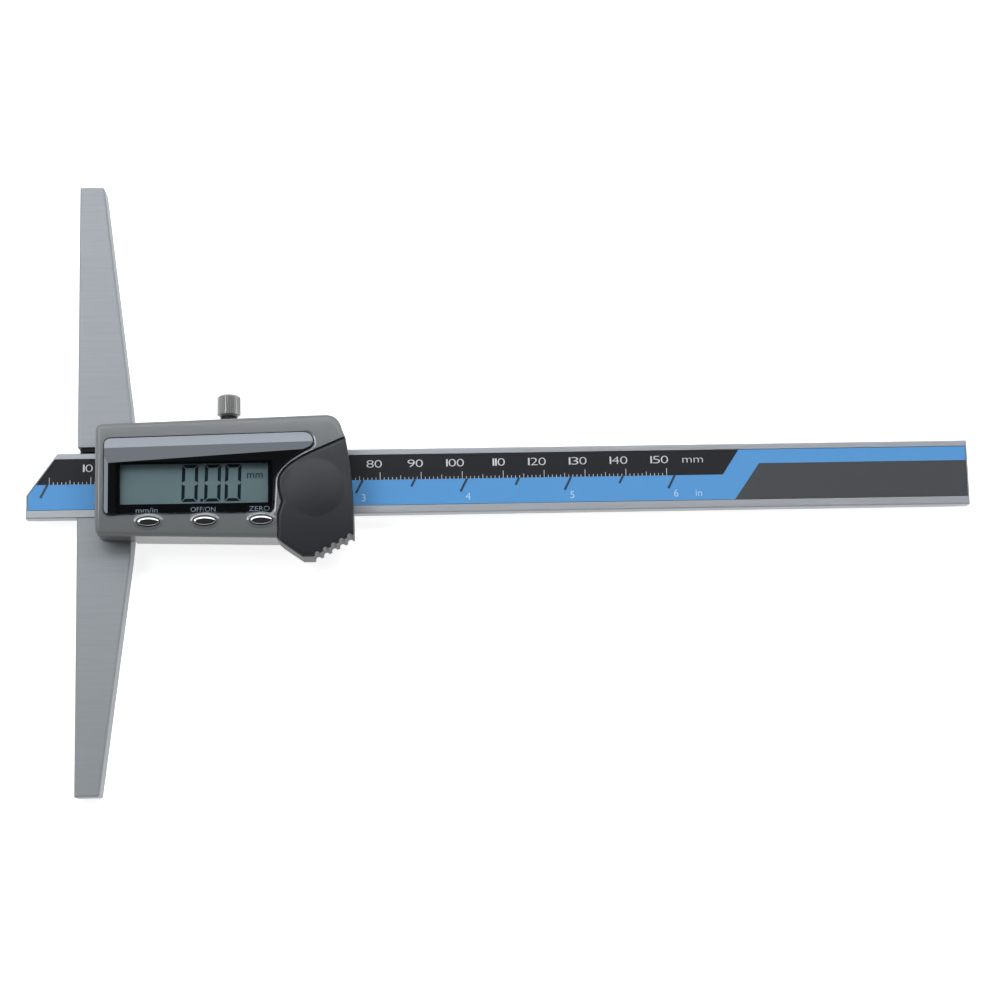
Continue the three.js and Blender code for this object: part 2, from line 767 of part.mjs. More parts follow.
// Everything that the battery cover occupies, with its gap, above and around the housing's deck.
function coverRoom() {
  const low = -overrun;
  const zone = slab(offset(coverOutline, mouldGap), low, headHeight + overrun);
  const core = slab(offset(headOutline, -coverWall - looseGap), low - overrun, deckZ);
  return cut(zone, core);
}

// Hollow below the front wall, with the pockets above the button flanges.
function housingHollow() {
  const hollow = box(
    headLeftX + coverWall,
    cavityRightX,
    -cavityHalfWidth,
    cavityHalfWidth,
    -overrun,
    ceilingZ,
  );
  const flangeX = buttonHalfLength + buttonFlangeMargin + mouldGap;
  const flangeY = buttonHalfWidth + buttonFlangeMargin + mouldGap;
  const pocketZ = headHeight - buttonPocketTopWall;
  const pockets = buttonPlaces.map((x) =>
    slab(ellipse(x, buttonY, flangeX, flangeY), boardFrontZ, pocketZ));
  return join(hollow, ...pockets);
}

// Room below the housing for the crosspiece, the beam and the lock screw's neck.
function underHousing() {
  const leftX = headLeftX - overrun;
  const rightX = headRightX + overrun;
  const farY = headRightHalfWidth + overrun;
  const clearX = boardStartX;
  const aboveCrosspiece = crosspieceThickness + looseGap;
  const notchRadius = lockNeckRadius + looseGap;
  return [
    box(leftX, rightX, -farY, farY, -overrun, skirtHeight),
    box(leftX, clearX, -farY, farY, 0, boardBackZ),
    box(leftX, clearX, slotTopY - looseGap, farY, 0, aboveCrosspiece),
    box(leftX, clearX, -farY, slotBottomY + looseGap, 0, aboveCrosspiece),
    box(frameEndX - overrun, rightX, slotBottomY - looseGap, slotTopY + looseGap, 0, boardBackZ),
    boreAlongY(lockX, lockZ, notchRadius, frameHalfWidth - overrun, farY),
    box(lockX - notchRadius, lockX + notchRadius, frameHalfWidth - overrun, farY, -overrun, lockZ),
  ];
}

// Posts for the housing screws, down to the board or, beside a button, to the membrane.
function bosses() {
  const onBoard = boardFrontZ + seatGap;
  const onMembrane = onBoard + membraneThickness + seatGap;
  return housingScrewPlaces.map(({ name, x, y }) => {
    const low = name === 'housing_screw_low_left' ? onMembrane : onBoard;
    return boreAlongZ(x, y, bossRadius, low, ceilingZ + frontWall / 2);
  });
}

// Wall around the coin cell, from the deck down.
function cellPocket() {
  const low = boardFrontZ + pocketFootGap;
  return boreAlongZ(cellX, cellY, cellRadius + mouldGap + cellPocketWall, low, ceilingZ + deckDrop / 2);
}

function buttonCollars() {
  const low = headHeight - frontWall / 2;
  return buttonPlaces.map((x) => {
    const wide = ellipse(x, buttonY, collarHalfLength, collarHalfWidth);
    return stack([
      { points: wide, z: low },
      { points: wide, z: headHeight - seatGap },
      { points: offset(wide, -collarSlope), z: headHeight + collarHeight },
    ]);
  });
}

function housing() {
  const shell = softSlab(headOutline, 0, headHeight, headFrontRounding);
  const hollowed = cut(shell, housingHollow());
  const furnished = join(hollowed, ...bosses(), cellPocket(), ...buttonCollars());
  const topZ = headHeight + overrun;
  const seat = slab(windowOutline, headHeight - windowSeatDepth, topZ);
  const view = slab(offset(windowOutline, -windowLedge), boardFrontZ, topZ);
  const buttonHoles = buttonPlaces.map((x) =>
    slab(ellipse(x, buttonY, buttonHalfLength + mouldGap, buttonHalfWidth + mouldGap), boardFrontZ, topZ));
  const pilotTop = housingScrewLength + looseGap;
  const pilots = housingScrewPlaces.map(({ x, y }) =>
    boreAlongZ(x, y, screwRadius + threadGap, 0, pilotTop));
  const cell = boreAlongZ(cellX, cellY, cellRadius + mouldGap, 0, topZ);
  const leafHalf = contactWidth / 2 + looseGap;
  const leafY = cellY + cellRadius - looseGap;
  const leafEndY = leafY + cellPocketWall + 2 * looseGap + mouldGap;
  const leafSlot = box(cellX - leafHalf, cellX + leafHalf, leafY, leafEndY, 0, ceilingZ);
  return cut(
    furnished,
    coverRoom(),
    seat,
    view,
    ...underHousing(),
    ...buttonHoles,
    ...pilots,
    cell,
    leafSlot,
  );
}

// Window and the printed mask behind it

function displayWindow() {
  return softSlab(offset(windowOutline, -mouldGap), windowBackZ, windowFrontZ, windowRounding);
}

function displayMask() {
  const sheet = slab(offset(windowOutline, -windowLedge - mouldGap), maskBackZ, maskBackZ + maskThickness);
  const low = maskBackZ - overrun;
  const high = maskBackZ + overrun;
  return cut(sheet, box(viewLeftX, viewRightX, viewBottomY, viewTopY, low, high));
}

// Buttons, built around their own centre

function pushButton() {
  const flangeTop = headHeight - buttonPocketTopWall - mouldGap;
  const flangeLow = flangeTop - buttonFlangeThickness;
  const capTop = headHeight + buttonProud;
  const restOnDome = boardFrontZ + 2 * seatGap + membraneThickness + membraneDomeHeight + buttonTravel;
  const cap = ellipse(0, 0, buttonHalfLength, buttonHalfWidth);
  const grown = offset(cap, buttonFlangeMargin);
  const domeStep = (share) => ({
    points: ellipse(0, 0, buttonHalfLength * share, buttonHalfWidth * share),
    z: capTop - buttonDome + buttonDome * Math.sqrt(1 - share * share),
  });
  const domeShares = [0.93, 0.72, 0.4];
  const head = stack([{ points: cap, z: flangeLow }, { points: cap, z: capTop - buttonDome }]
    .concat(domeShares.map(domeStep)));
  const flange = slab(grown, flangeLow, flangeTop);
  const stem = boreAlongZ(0, 0, buttonStemRadius, restOnDome, flangeTop);
  return join(head, flange, stem);
}

// Coin cell and contacts

function coinCell() {
  const capHigh = cellBackZ + cellCapHeight;
  return turnedUp([
    [0, cellBackZ],
    [cellCapRadius, cellBackZ],
    [cellCapRadius, capHigh],
    [cellRadius, capHigh],
    [cellRadius, cellFrontZ],
    [0, cellFrontZ],
  ], roundSteps).translate(cellX, cellY, 0);
}

// A bent leaf of spring sheet, from its side outline, with its width along Y.
function sheetAlongY(points, width) {
  const geometry = slab(outline((shape) => shape.setFromPoints(points)), -width / 2, width / 2);
  return geometry.rotateX(Math.PI / 2);
}

function negativeContact() {
  const low = boardFrontZ + seatGap;
  const high = cellBackZ - seatGap - contactThickness;
  const footX = cellX - cellCapRadius - contactFootLength / 2;
  const riseX = footX + contactFootLength;
  const points = [
    [footX, low],
    [riseX, low],
    [cellX, high],
    [cellX + contactFootLength, high],
    [cellX + contactFootLength, high + contactThickness],
    [cellX, high + contactThickness],
    [riseX, low + contactThickness],
    [footX, low + contactThickness],
  ].map(([x, z]) => new THREE.Vector2(x, z));
  return sheetAlongY(points, contactWidth).translate(0, cellY, 0);
}

function positiveContact() {
  const low = boardFrontZ + seatGap;
  const leafY = cellY + cellRadius + mouldGap / 2;
  const startX = cellX - contactWidth / 2;
  const endX = startX + contactWidth;
  const leaf = box(startX, endX, leafY, leafY + contactThickness, low, low + contactLeafHeight);
  const foot = box(startX, endX, leafY, leafY + contactFootLength, low, low + contactThickness);
  return join(leaf, foot);
}

// Battery cover

// Upright grooves that leave teeth on the edge from the thumb rest's tip to the right end of the head.
function thumbGrooves() {
  const start = new THREE.Vector2(thumbTipRightX, thumbTipY);
  const end = new THREE.Vector2(headRightX, coverRightLowY);
  const topZ = headHeight + overrun;
  return Array.from({ length: thumbGrooveCount }, (_, i) => {
    const centre = start.clone().lerp(end, (i + 1 / 2) / thumbGrooveCount);
    return boreAlongZ(centre.x, centre.y, thumbGrooveRadius, coverLowZ - overrun, topZ);
  });
}

function batteryCover() {
  const block = softSlab(coverOutline, coverLowZ, headHeight, coverRounding);
  const plateZ = headHeight - coverPlate;
  const inside = slab(offset(headOutline, -coverWall), coverLowZ - overrun, plateZ);
  const beamWay = box(
    headCornerX - overrun,
    headRightX + overrun,
    slotBottomY - looseGap,
    slotTopY + looseGap,
    coverLowZ - overrun,
    boardBackZ + looseGap,
  );
  const domeFoot = ellipse(cellX, cellY, coverDomeRadius, coverDomeRadius);
  const domeLayers = [{ points: domeFoot, z: plateZ + seatGap }];
  for (let step = 0; step < coverDomeSteps; step++) {
    const share = step / coverDomeSteps;
    const radius = coverDomeRadius * (1 - share);
    const z = headHeight + coverDomeHeight * (1 - (1 - share) ** 2);
    domeLayers.push({ points: ellipse(cellX, cellY, radius, radius), z });
  }
  return join(cut(block, inside, beamWay, ...thumbGrooves()), stack(domeLayers));
}

// Finishes

const finishes = {
  groundSteel: { color: 0xa2a8ae, roughness: 0.35, metalness: 0.9 },
  darkSteel: { color: 0x1b1d1e, roughness: 0.5, metalness: 0.6 },
  screwSteel: { color: 0x8a8a8a, roughness: 0.4, metalness: 0.9 },
  chrome: { color: 0xd8dade, roughness: 0.08, metalness: 1 },
  greyHousing: { color: 0x7b8284, roughness: 0.55, metalness: 0.1 },
  charcoal: { color: 0x2f3336, roughness: 0.65, metalness: 0 },
  blueLabel: { color: 0x63a0d8, roughness: 0.5, metalness: 0 },
  clear: { color: 0xb4bcc4, roughness: 0.05, metalness: 0, transparent: true, opacity: 0.35 },
  black: { color: 0x0e1114, roughness: 0.6, metalness: 0 },
  display: { color: 0x5e6f72, roughness: 0.2, metalness: 0 },
  board: { color: 0x1f5a36, roughness: 0.6, metalness: 0 },
  rubber: { color: 0x3a3a3c, roughness: 0.9, metalness: 0 },
  ivory: { color: 0xd8d4c6, roughness: 0.6, metalness: 0 },
  cell: { color: 0xc4c6c8, roughness: 0.25, metalness: 0.95 },
  brass: { color: 0xc9a75a, roughness: 0.35, metalness: 0.95 },
};

// Assembly

function piece(name, geometry, finish) {
  const material = new THREE.MeshStandardMaterial({ ...finishes[finish], flatShading: true });
  const mesh = new THREE.Mesh(geometry, material);
  mesh.name = name;
  return mesh;
}

const slidingBeam = new THREE.Group();
slidingBeam.add(
  piece('beam', beam(), 'groundSteel'),
  piece('scale_strip', scaleStrip(), 'board'),
  piece('scale_label', scaleLabel(), 'blueLabel'),
);

const head = new THREE.Group();
head.add(
  piece('crosspiece', crosspiece(), 'groundSteel'),
  piece('slider_frame', sliderFrame(), 'groundSteel'),
  piece('circuit_board', circuitBoard(), 'board'),
  piece('controller_chip', controllerChip(), 'black'),
  piece('button_membrane', buttonMembrane(), 'rubber'),
  piece('lcd_panel', lcdPanel(), 'display'),
  piece('lcd_frame', lcdFrame(), 'ivory'),
  piece('zebra_strip_upper', zebraStrip(lcdTopY - zebraWidth), 'rubber'),
  piece('zebra_strip_lower', zebraStrip(lcdBottomY), 'rubber'),
  piece('housing', housing(), 'greyHousing'),
  piece('window', displayWindow(), 'clear'),
  piece('display_mask', displayMask(), 'black'),
  piece('battery', coinCell(), 'cell'),
  piece('battery_contact_negative', negativeContact(), 'brass'),
  piece('battery_contact_positive', positiveContact(), 'brass'),
);

const crossScrews = [
  ...lapScrewPlaces.map((place) => ({ ...place, length: lapScrewLength })),
  ...housingScrewPlaces.map((place) => ({ ...place, length: housingScrewLength })),
];
for (const { name, x, y, length } of crossScrews) {
  const screw = piece(name, crossScrew(length), 'screwSteel');
  screw.position.set(x, y, screwHeadSink);
  head.add(screw);
}
for (const [name, x] of [['gib_screw_left', gibScrewLeftX], ['gib_screw_right', gibScrewRightX]]) {
  const screw = piece(name, gibScrew(), 'darkSteel');
  screw.position.set(x, 0, lockZ);
  head.add(screw);
}

const clamp = new THREE.Group();
const lock = piece('lock_screw', lockScrew(), 'screwSteel');
lock.position.set(lockX, 0, lockZ);
clamp.add(piece('gib', gib(), 'darkSteel'), lock);

const buttonNames = ['button_units', 'button_power', 'button_zero'];
const buttons = new THREE.Group();
buttonNames.forEach((name, i) => {
  const button = piece(name, pushButton(), 'chrome');
  button.position.set(buttonPlaces[i], buttonY, 0);
  buttons.add(button);
});

const depthGauge = new THREE.Group();
depthGauge.position.z = -webThickness / 2;
depthGauge.add(slidingBeam, head, clamp, buttons, piece('battery_cover', batteryCover(), 'charcoal'));

export default depthGauge;
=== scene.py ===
# Digital depth gauge for 150 mm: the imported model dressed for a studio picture.
# X runs along the beam towards its tail, Y along the crosspiece and Z up out of the display.
import json
import math
from contextlib import contextmanager

import bmesh
import bpy
from mathutils import Euler, Matrix, Vector

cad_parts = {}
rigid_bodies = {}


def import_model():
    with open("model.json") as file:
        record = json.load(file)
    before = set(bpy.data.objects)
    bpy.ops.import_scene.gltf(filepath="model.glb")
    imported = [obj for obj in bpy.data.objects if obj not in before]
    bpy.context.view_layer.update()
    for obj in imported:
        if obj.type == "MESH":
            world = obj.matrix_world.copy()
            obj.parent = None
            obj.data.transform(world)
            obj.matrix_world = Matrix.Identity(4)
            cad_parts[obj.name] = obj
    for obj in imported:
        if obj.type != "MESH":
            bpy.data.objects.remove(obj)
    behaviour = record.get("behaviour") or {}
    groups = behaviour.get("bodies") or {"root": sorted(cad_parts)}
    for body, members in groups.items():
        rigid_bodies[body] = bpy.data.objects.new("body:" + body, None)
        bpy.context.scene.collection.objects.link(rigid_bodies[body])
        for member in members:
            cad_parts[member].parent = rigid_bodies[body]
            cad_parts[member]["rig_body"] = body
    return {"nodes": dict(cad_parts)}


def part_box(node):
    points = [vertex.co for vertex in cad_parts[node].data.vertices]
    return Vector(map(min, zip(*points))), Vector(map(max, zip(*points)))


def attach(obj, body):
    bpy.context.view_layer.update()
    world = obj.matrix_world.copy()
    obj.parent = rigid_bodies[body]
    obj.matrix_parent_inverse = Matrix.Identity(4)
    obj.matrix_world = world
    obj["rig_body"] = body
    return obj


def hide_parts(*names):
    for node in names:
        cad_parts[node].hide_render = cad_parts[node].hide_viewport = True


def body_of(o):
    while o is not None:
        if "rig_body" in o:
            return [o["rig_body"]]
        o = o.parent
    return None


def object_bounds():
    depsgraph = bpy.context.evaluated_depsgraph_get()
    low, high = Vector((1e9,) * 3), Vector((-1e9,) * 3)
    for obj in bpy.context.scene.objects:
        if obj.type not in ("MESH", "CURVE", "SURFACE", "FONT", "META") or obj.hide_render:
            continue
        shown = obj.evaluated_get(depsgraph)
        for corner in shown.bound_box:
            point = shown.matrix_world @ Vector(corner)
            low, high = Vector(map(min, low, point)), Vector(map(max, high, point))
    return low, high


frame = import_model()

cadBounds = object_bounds()
mm = 0.001
backZ = cadBounds[0].z / mm  # the plane that the gauge lies on
weld = 1e-7  # metres within which two places are one
fine = 96  # sides of the rounds that show
over = 2  # millimetres that a tool reaches past what it cuts


def say(stage):
    print("depth gauge:", stage, flush=True)


# Sets properties by name.
def assign(thing, **settings):
    for name, value in settings.items():
        setattr(thing, name, value)
    return thing


# Colours, nodes and materials


# An sRGB colour code as the linear values that shaders take.
def linear(code):
    parts = [int(code[i:i + 2], 16) / 255 for i in (1, 3, 5)]
    return (*[c / 12.92 if c <= 0.04045 else ((c + 0.055) / 1.055) ** 2.4 for c in parts], 1)


# Adds a node with its settings and links and gives its outputs. An input takes a value, a socket or a
# list of sockets.
def addNode(tree, kind, inputs=None, **settings):
    node = assign(tree.nodes.new(kind), **settings)
    for socket, given in (inputs or {}).items():
        for value in given if isinstance(given, list) else [given]:
            if isinstance(value, bpy.types.NodeSocket):
                tree.links.new(value, node.inputs[socket])
            else:
                node.inputs[socket].default_value = value
    return node.outputs


def startMaterial(name):
    material = bpy.data.materials.new(name)
    material.use_nodes = True
    material.node_tree.nodes.clear()
    return material, material.node_tree


def endMaterial(material, shader):
    addNode(material.node_tree, "ShaderNodeOutputMaterial", {"Surface": shader})
    return material


# Real pattern sizes in millimetres are turned into texture scales per metre.
def perMetre(size):
    return 1 / (size * mm)


grain = {
    "middle": (0.3, 0.7),  # the part of the noise over which a pattern changes
    "sheenSwing": 0.04,
    "streakBump": 0.25,
    "streakDepth": 0.004,
    "speckleBump": 0.3,
    "speckleShades": (0.96, 1.04),
}


# Steel, ground or milled: an even grey whose reflections fine parallel streaks soften. The streaks are
# drawn wider than real ones, which are too fine to show.
def groundSteel(name, light, dark, roughness, streakWidth, streakLength):
    material, tree = startMaterial(name)
    low, high = grain["middle"]
    where = addNode(tree, "ShaderNodeTexCoord")["Object"]
    across = perMetre(streakWidth)
    stretched = addNode(tree, "ShaderNodeMapping", {
        "Vector": where, "Scale": (perMetre(streakLength), across, across)})[0]
    streaks = addNode(tree, "ShaderNodeTexNoise", {
        "Vector": stretched, "Scale": 1.0, "Detail": 3.0, "Roughness": 0.6})["Fac"]
    tint = addNode(tree, "ShaderNodeValToRGB", {"Fac": streaks})[0]
    for stop, position, colour in zip(tint.node.color_ramp.elements, (low, high), (dark, light)):
        stop.position = position
        stop.color = linear(colour)
    sheen = addNode(tree, "ShaderNodeMapRange", {
        "Value": streaks, "From Min": low, "From Max": high,
        "To Min": roughness - grain["sheenSwing"], "To Max": roughness + grain["sheenSwing"]})[0]
    bump = addNode(tree, "ShaderNodeBump", {
        "Height": streaks, "Strength": grain["streakBump"], "Distance": grain["streakDepth"] * mm})[0]
    shader = addNode(tree, "ShaderNodeBsdfPrincipled", {
        "Base Color": tint, "Metallic": 1.0, "Roughness": sheen, "Normal": bump})[0]
    return endMaterial(material, shader)


# Moulded ABS with a spark-eroded grain: matt, with a faint speckle close by. The grain is drawn coarser
# than the real one, which is too fine to show.
def mouldedPlastic(name, colour, roughness, grainSize, grainDepth, specular=0.5):
    material, tree = startMaterial(name)
    low, high = grain["middle"]
    dark, light = grain["speckleShades"]
    where = addNode(tree, "ShaderNodeTexCoord")["Object"]
    speckle = addNode(tree, "ShaderNodeTexNoise", {
        "Vector": where, "Scale": perMetre(grainSize), "Detail": 2.0})["Fac"]
    tone = addNode(tree, "ShaderNodeMapRange", {
        "Value": speckle, "From Min": low, "From Max": high, "To Min": dark, "To Max": light})[0]
    tint = addNode(tree, "ShaderNodeMix", {
        0: 1.0, 6: linear(colour), 7: tone}, data_type="RGBA", blend_type="MULTIPLY")[2]
    bump = addNode(tree, "ShaderNodeBump", {
        "Height": speckle, "Strength": grain["speckleBump"], "Distance": grainDepth * mm})[0]
    shader = addNode(tree, "ShaderNodeBsdfPrincipled", {
        "Base Color": tint, "Roughness": roughness, "Specular IOR Level": specular, "Normal": bump})[0]
    return endMaterial(material, shader)


# Smooth or finely matt stock without a pattern that shows at this size.
def plainFinish(name, colour, roughness, metallic=0.0, specular=0.5):
    material, tree = startMaterial(name)
    shader = addNode(tree, "ShaderNodeBsdfPrincipled", {
        "Base Color": linear(colour), "Roughness": roughness, "Metallic": metallic,
        "Specular IOR Level": specular})[0]
    return endMaterial(material, shader)


acrylic = {
    "tint": "#f4f8fa",
    "gloss": "#e8eef6",
    "backing": "#0e0f11",
    "roughness": 0.05,
    "ior": 1.49,
    "view": ((10.4, 47.7), (-9.6, 3.7)),  # round the display and the words, along X and Y
}


# Cast acrylic, polished: nothing shows of it but the light on its outer surface. Round its view it is
# backed with black, so that only the gloss shows there.
def clearAcrylic():
    a = acrylic
    material, tree = startMaterial("Acrylic polished clear")
    through = addNode(tree, "ShaderNodeBsdfTransparent", {"Color": linear(a["tint"])})[0]
    gloss = addNode(tree, "ShaderNodeBsdfGlossy", {
        "Color": linear(a["gloss"]), "Roughness": a["roughness"]})[0]
    edge = addNode(tree, "ShaderNodeFresnel", {"IOR": a["ior"]})[0]
    inside = addNode(tree, "ShaderNodeNewGeometry")["Backfacing"]
    outside = addNode(tree, "ShaderNodeMath", {0: 1.0, 1: inside}, operation="SUBTRACT")[0]
    share = addNode(tree, "ShaderNodeMath", {0: edge, 1: outside}, operation="MULTIPLY")[0]
    clear = addNode(tree, "ShaderNodeMixShader", {0: share, 1: through, 2: gloss})[0]
    backed = addNode(tree, "ShaderNodeBsdfPrincipled", {
        "Base Color": linear(a["backing"]), "Roughness": a["roughness"], "IOR": a["ior"],
        "Specular Tint": linear(a["gloss"])})[0]
    where = addNode(tree, "ShaderNodeTexCoord")["Object"]
    inView = []
    for axis, (low, high) in zip(addNode(tree, "ShaderNodeSeparateXYZ", {0: where}), a["view"]):
        middle, half = (low + high) / 2 * mm, (high - low) / 2 * mm
        inView.append(addNode(tree, "ShaderNodeMath", {0: axis, 1: middle, 2: half}, operation="COMPARE")[0])
    both = addNode(tree, "ShaderNodeMath", {0: inView[0], 1: inView[1]}, operation="MULTIPLY")[0]
    mixed = addNode(tree, "ShaderNodeMixShader", {0: both, 1: backed, 2: clear})[0]
    return endMaterial(material, mixed)


label = {
    "boundaryY": 0.3,
    "blackEnd": ((157.0, 0.3), (161.1, 6.5)),
    "panelStart": ((159.7, -6.0), (166.0, 3.0)),
    "panelTop": 3.0,
    "blue": "#5d9fdb",
    "black": "#232428",
    "tailBlack": "#4c4e50",
}


# Printed polyester film: matt, with a black band above a blue one and a black panel at the beam's tail.
def printedFilm():
    material, tree = startMaterial("Polyester film printed")
    where = addNode(tree, "ShaderNodeTexCoord")["Object"]
    x, y = addNode(tree, "ShaderNodeSeparateXYZ", {0: where})[:2]

    # Whether x lies past a slanted edge through two points
    def pastEdge(edge):
        (lowX, lowY), (highX, highY) = edge
        slope = (highX - lowX) / (highY - lowY)
        lean = addNode(tree, "ShaderNodeMath", {0: y, 1: -slope, 2: x}, operation="MULTIPLY_ADD")[0]
        start = (lowX - slope * lowY) * mm
        return addNode(tree, "ShaderNodeMath", {0: lean, 1: start}, operation="GREATER_THAN")[0]

    high, overPanel = [
        addNode(tree, "ShaderNodeMath", {0: y, 1: limit * mm}, operation="GREATER_THAN")[0]
        for limit in (label["boundaryY"], label["panelTop"])]
    ended, started = pastEdge(label["blackEnd"]), pastEdge(label["panelStart"])
    band, panel = [
        addNode(tree, "ShaderNodeMath", {0: inside, 1: outside}, operation="SUBTRACT", use_clamp=True)[0]
        for inside, outside in ((high, ended), (started, overPanel))]
    black = addNode(tree, "ShaderNodeMath", {0: band, 1: panel}, operation="MAXIMUM")[0]
    blacks = addNode(tree, "ShaderNodeMix", {
        0: panel, 6: linear(label["black"]), 7: linear(label["tailBlack"])}, data_type="RGBA")[2]
    tint = addNode(tree, "ShaderNodeMix", {
        0: black, 6: linear(label["blue"]), 7: blacks}, data_type="RGBA")[2]
    shader = addNode(tree, "ShaderNodeBsdfPrincipled", {
        "Base Color": tint, "Roughness": 0.55, "Specular IOR Level": 0.2})[0]
    return endMaterial(material, shader)


finishes = {
    # A cool grey sheen with faint streaks across the arms
    "crosspieceSteel": groundSteel("Tool steel surface ground", "#a3a7aa", "#999da0", 0.6, 0.35, 14),
    # A little lighter, with finer streaks along the beam
    "beamSteel": groundSteel("Stainless steel ground lengthways", "#afb2b6", "#a4a7ab", 0.55, 0.2, 20),
    # Darker and shinier, with coarser cutter marks
    "frameSteel": groundSteel("Stainless steel milled", "#9da0a2", "#8d9092", 0.4, 0.3, 8),
    # Small clear highlights on the heads
    "screwSteel": plainFinish("Screw steel nickel plated", "#a8a8a6", 0.3, 1.0),
    # Bright lines down the ridges of the knurl
    "knobSteel": plainFinish("Knob steel turned and knurled", "#949492", 0.36, 1.0),
    # Nearly black, with a dull sheen: the own colour of the small gib screws. On the gib and the lock
    # screw's stem it is partly painted shade, for the dark slot over the beam and the gap under the knob
    "nearBlackSteel": plainFinish("Steel near black and painted shade", "#141516", 0.42, 0.6),
    # A mirror that draws the lamps as sharp bright bands
    "chrome": plainFinish("Button chrome plated and polished", "#b4b6b8", 0.06, 1.0),
    # Mid grey and satin, with a faint speckle close by
    "housing": mouldedPlastic("ABS housing moulded with a fine grain", "#6d7171", 0.26, 0.16, 0.006, 0.7),
    # The same grey, with a clear gloss on collars and slopes
    "housingPolished": plainFinish(
        "ABS housing moulded against a polished tool", "#6d7171", 0.16, specular=1.0),
    # Charcoal, with broad soft highlights and a coarser speckle
    "cover": mouldedPlastic("ABS cover moulded with a coarse grain", "#24272a", 0.44, 0.22, 0.02),
    # Clear over the display, and a bright even gloss on its bevels
    "window": clearAcrylic(),
    # Flat black without any shine
    "maskInk": plainFinish("Screen ink black on the acrylic's back", "#0e0f11", 0.5, specular=0.0),
    # Pale grey letters without any shine
    "labelInk": plainFinish("Screen ink light grey on the acrylic's back", "#9aa1a6", 0.5, specular=0.0),
    # An even dull grey green
    "displayGlass": plainFinish("Display glass with reflector", "#7e8d8c", 0.35, specular=0.2),
    # Blue black bars, crisp against the glass
    "displaySegment": plainFinish("Display segment switched on", "#0d1c22", 0.35, specular=0.1),
    # A plain ivory edge round the glass
    "displayFrame": plainFinish("Display frame polycarbonate ivory", "#d8d4c6", 0.5),
    # Matt bands of black and blue with crisp edges
    "film": printedFilm(),
    # Crisp matt white figures and ticks
    "filmWhite": plainFinish("Film ink white", "#d4d7d9", 0.45),
    # Dark blue ticks, sharp on the blue band
    "filmDark": plainFinish("Film ink dark", "#1c2f42", 0.45),
    # Light blue figures, soft on the blue band
    "filmPale": plainFinish("Film ink pale blue", "#b0d6f4", 0.45),
    # A flat dark green
    "stripLaminate": plainFinish("Scale strip glass laminate", "#2f6a44", 0.45),
    # Green, with a slight gloss of lacquer
    "board": plainFinish("Circuit board glass laminate green", "#1f5a36", 0.35),
    # Dull black
    "chip": plainFinish("Chip moulded in black epoxy", "#151617", 0.55),
    # Soft grey without highlights
    "rubber": plainFinish("Silicone rubber moulded grey", "#4a4b4d", 0.7),
    # A bright satin disc
    "cell": plainFinish("Coin cell drawn nickel steel", "#a3a6a8", 0.34, 1.0),
    # Yellowish, with clear highlights
    "brass": plainFinish("Contact brass sheet nickel flashed", "#d0b46c", 0.3, 1.0),
}

# Meshes, in millimetres with heights from the back plane


def addObject(name, data):
    obj = bpy.data.objects.new(name, data)
    bpy.context.scene.collection.objects.link(obj)
    return obj


def makeObject(name, vertices=(), faces=()):
    mesh = bpy.data.meshes.new(name)
    mesh.from_pydata([Vector((x, y, z + backZ)) * mm for x, y, z in vertices], [], faces)
    return addObject(name, mesh)


# What an object's modifiers or letters make, as a new mesh.
def meshOf(obj):
    bpy.context.view_layer.update()
    graph = bpy.context.evaluated_depsgraph_get()
    return bpy.data.meshes.new_from_object(obj.evaluated_get(graph))


# Keeps what an object's modifiers make of it as its plain mesh.
def settle(obj):
    mesh = meshOf(obj)
    obj.modifiers.clear()
    old = obj.data
    obj.data = mesh
    bpy.data.meshes.remove(old)
    return obj


# Opens an object's mesh for editing and writes it back.
@contextmanager
def opened(obj):
    shape = bmesh.new()
    shape.from_mesh(obj.data)
    yield shape
    shape.to_mesh(obj.data)
    shape.free()


# Even shares from 0 to 1.
def shares(steps):
    return [step / steps for step in range(steps + 1)]


def anticlockwise(points):
    area = sum(points[i - 1].cross(p) for i, p in enumerate(points))
    return points if area > 0 else points[::-1]


# An outline from lines (one point) and curves (a control point and an end), anticlockwise.
def drawOutline(start, strokes, steps=16, samePlace=1e-6):
    points = [Vector(start)]
    for stroke in strokes:
        if len(stroke) == 1:
            points.append(Vector(stroke[0]))
            continue
        begin, control, end = points[-1], Vector(stroke[0]), Vector(stroke[1])
        for t in shares(steps)[1:]:
            points.append(begin * (1 - t) ** 2 + control * 2 * t * (1 - t) + end * t ** 2)
    return anticlockwise([p for i, p in enumerate(points) if (p - points[i - 1]).length > samePlace])


# The outline moved inwards by one distance, or by one for each direction that its edge faces.
def inset(points, distance, sharpest=0.4):
    moved = []
    for i, point in enumerate(points):
        arriving = (point - points[i - 1]).normalized()
        leaving = (points[(i + 1) % len(points)] - point).normalized()
        facing = Vector((arriving.y, -arriving.x))
        bisector = (facing + Vector((leaving.y, -leaving.x))).normalized()
        reach = distance(bisector) if callable(distance) else distance
        moved.append(point - bisector * reach / max(bisector.dot(facing), sharpest))
    return moved


def ellipse(x, y, halfLength, halfWidth, steps=64):
    turns = [2 * math.pi * step / steps for step in range(steps)]
    return [Vector((x + halfLength * math.cos(a), y + halfWidth * math.sin(a))) for a in turns]


def rectangle(lowX, highX, lowY, highY):
    return [Vector(p) for p in ((lowX, lowY), (highX, lowY), (highX, highY), (lowX, highY))]


# A closed body through outlines of equal point counts, from the lowest to the highest.
def stack(name, layers):
    count = len(layers[0][0])
    vertices = [(p.x, p.y, z) for points, z in layers for p in points]
    faces = [tuple(reversed(range(count)))]
    for level in range(len(layers) - 1):
        for i in range(count):
            low, nextLow = level * count + i, level * count + (i + 1) % count
            faces.append((low, nextLow, nextLow + count, low + count))
    faces.append(tuple(range((len(layers) - 1) * count, len(layers) * count)))
    return makeObject(name, vertices, faces)


def slab(points, low, high):
    return stack("tool", [(points, low), (points, high)])


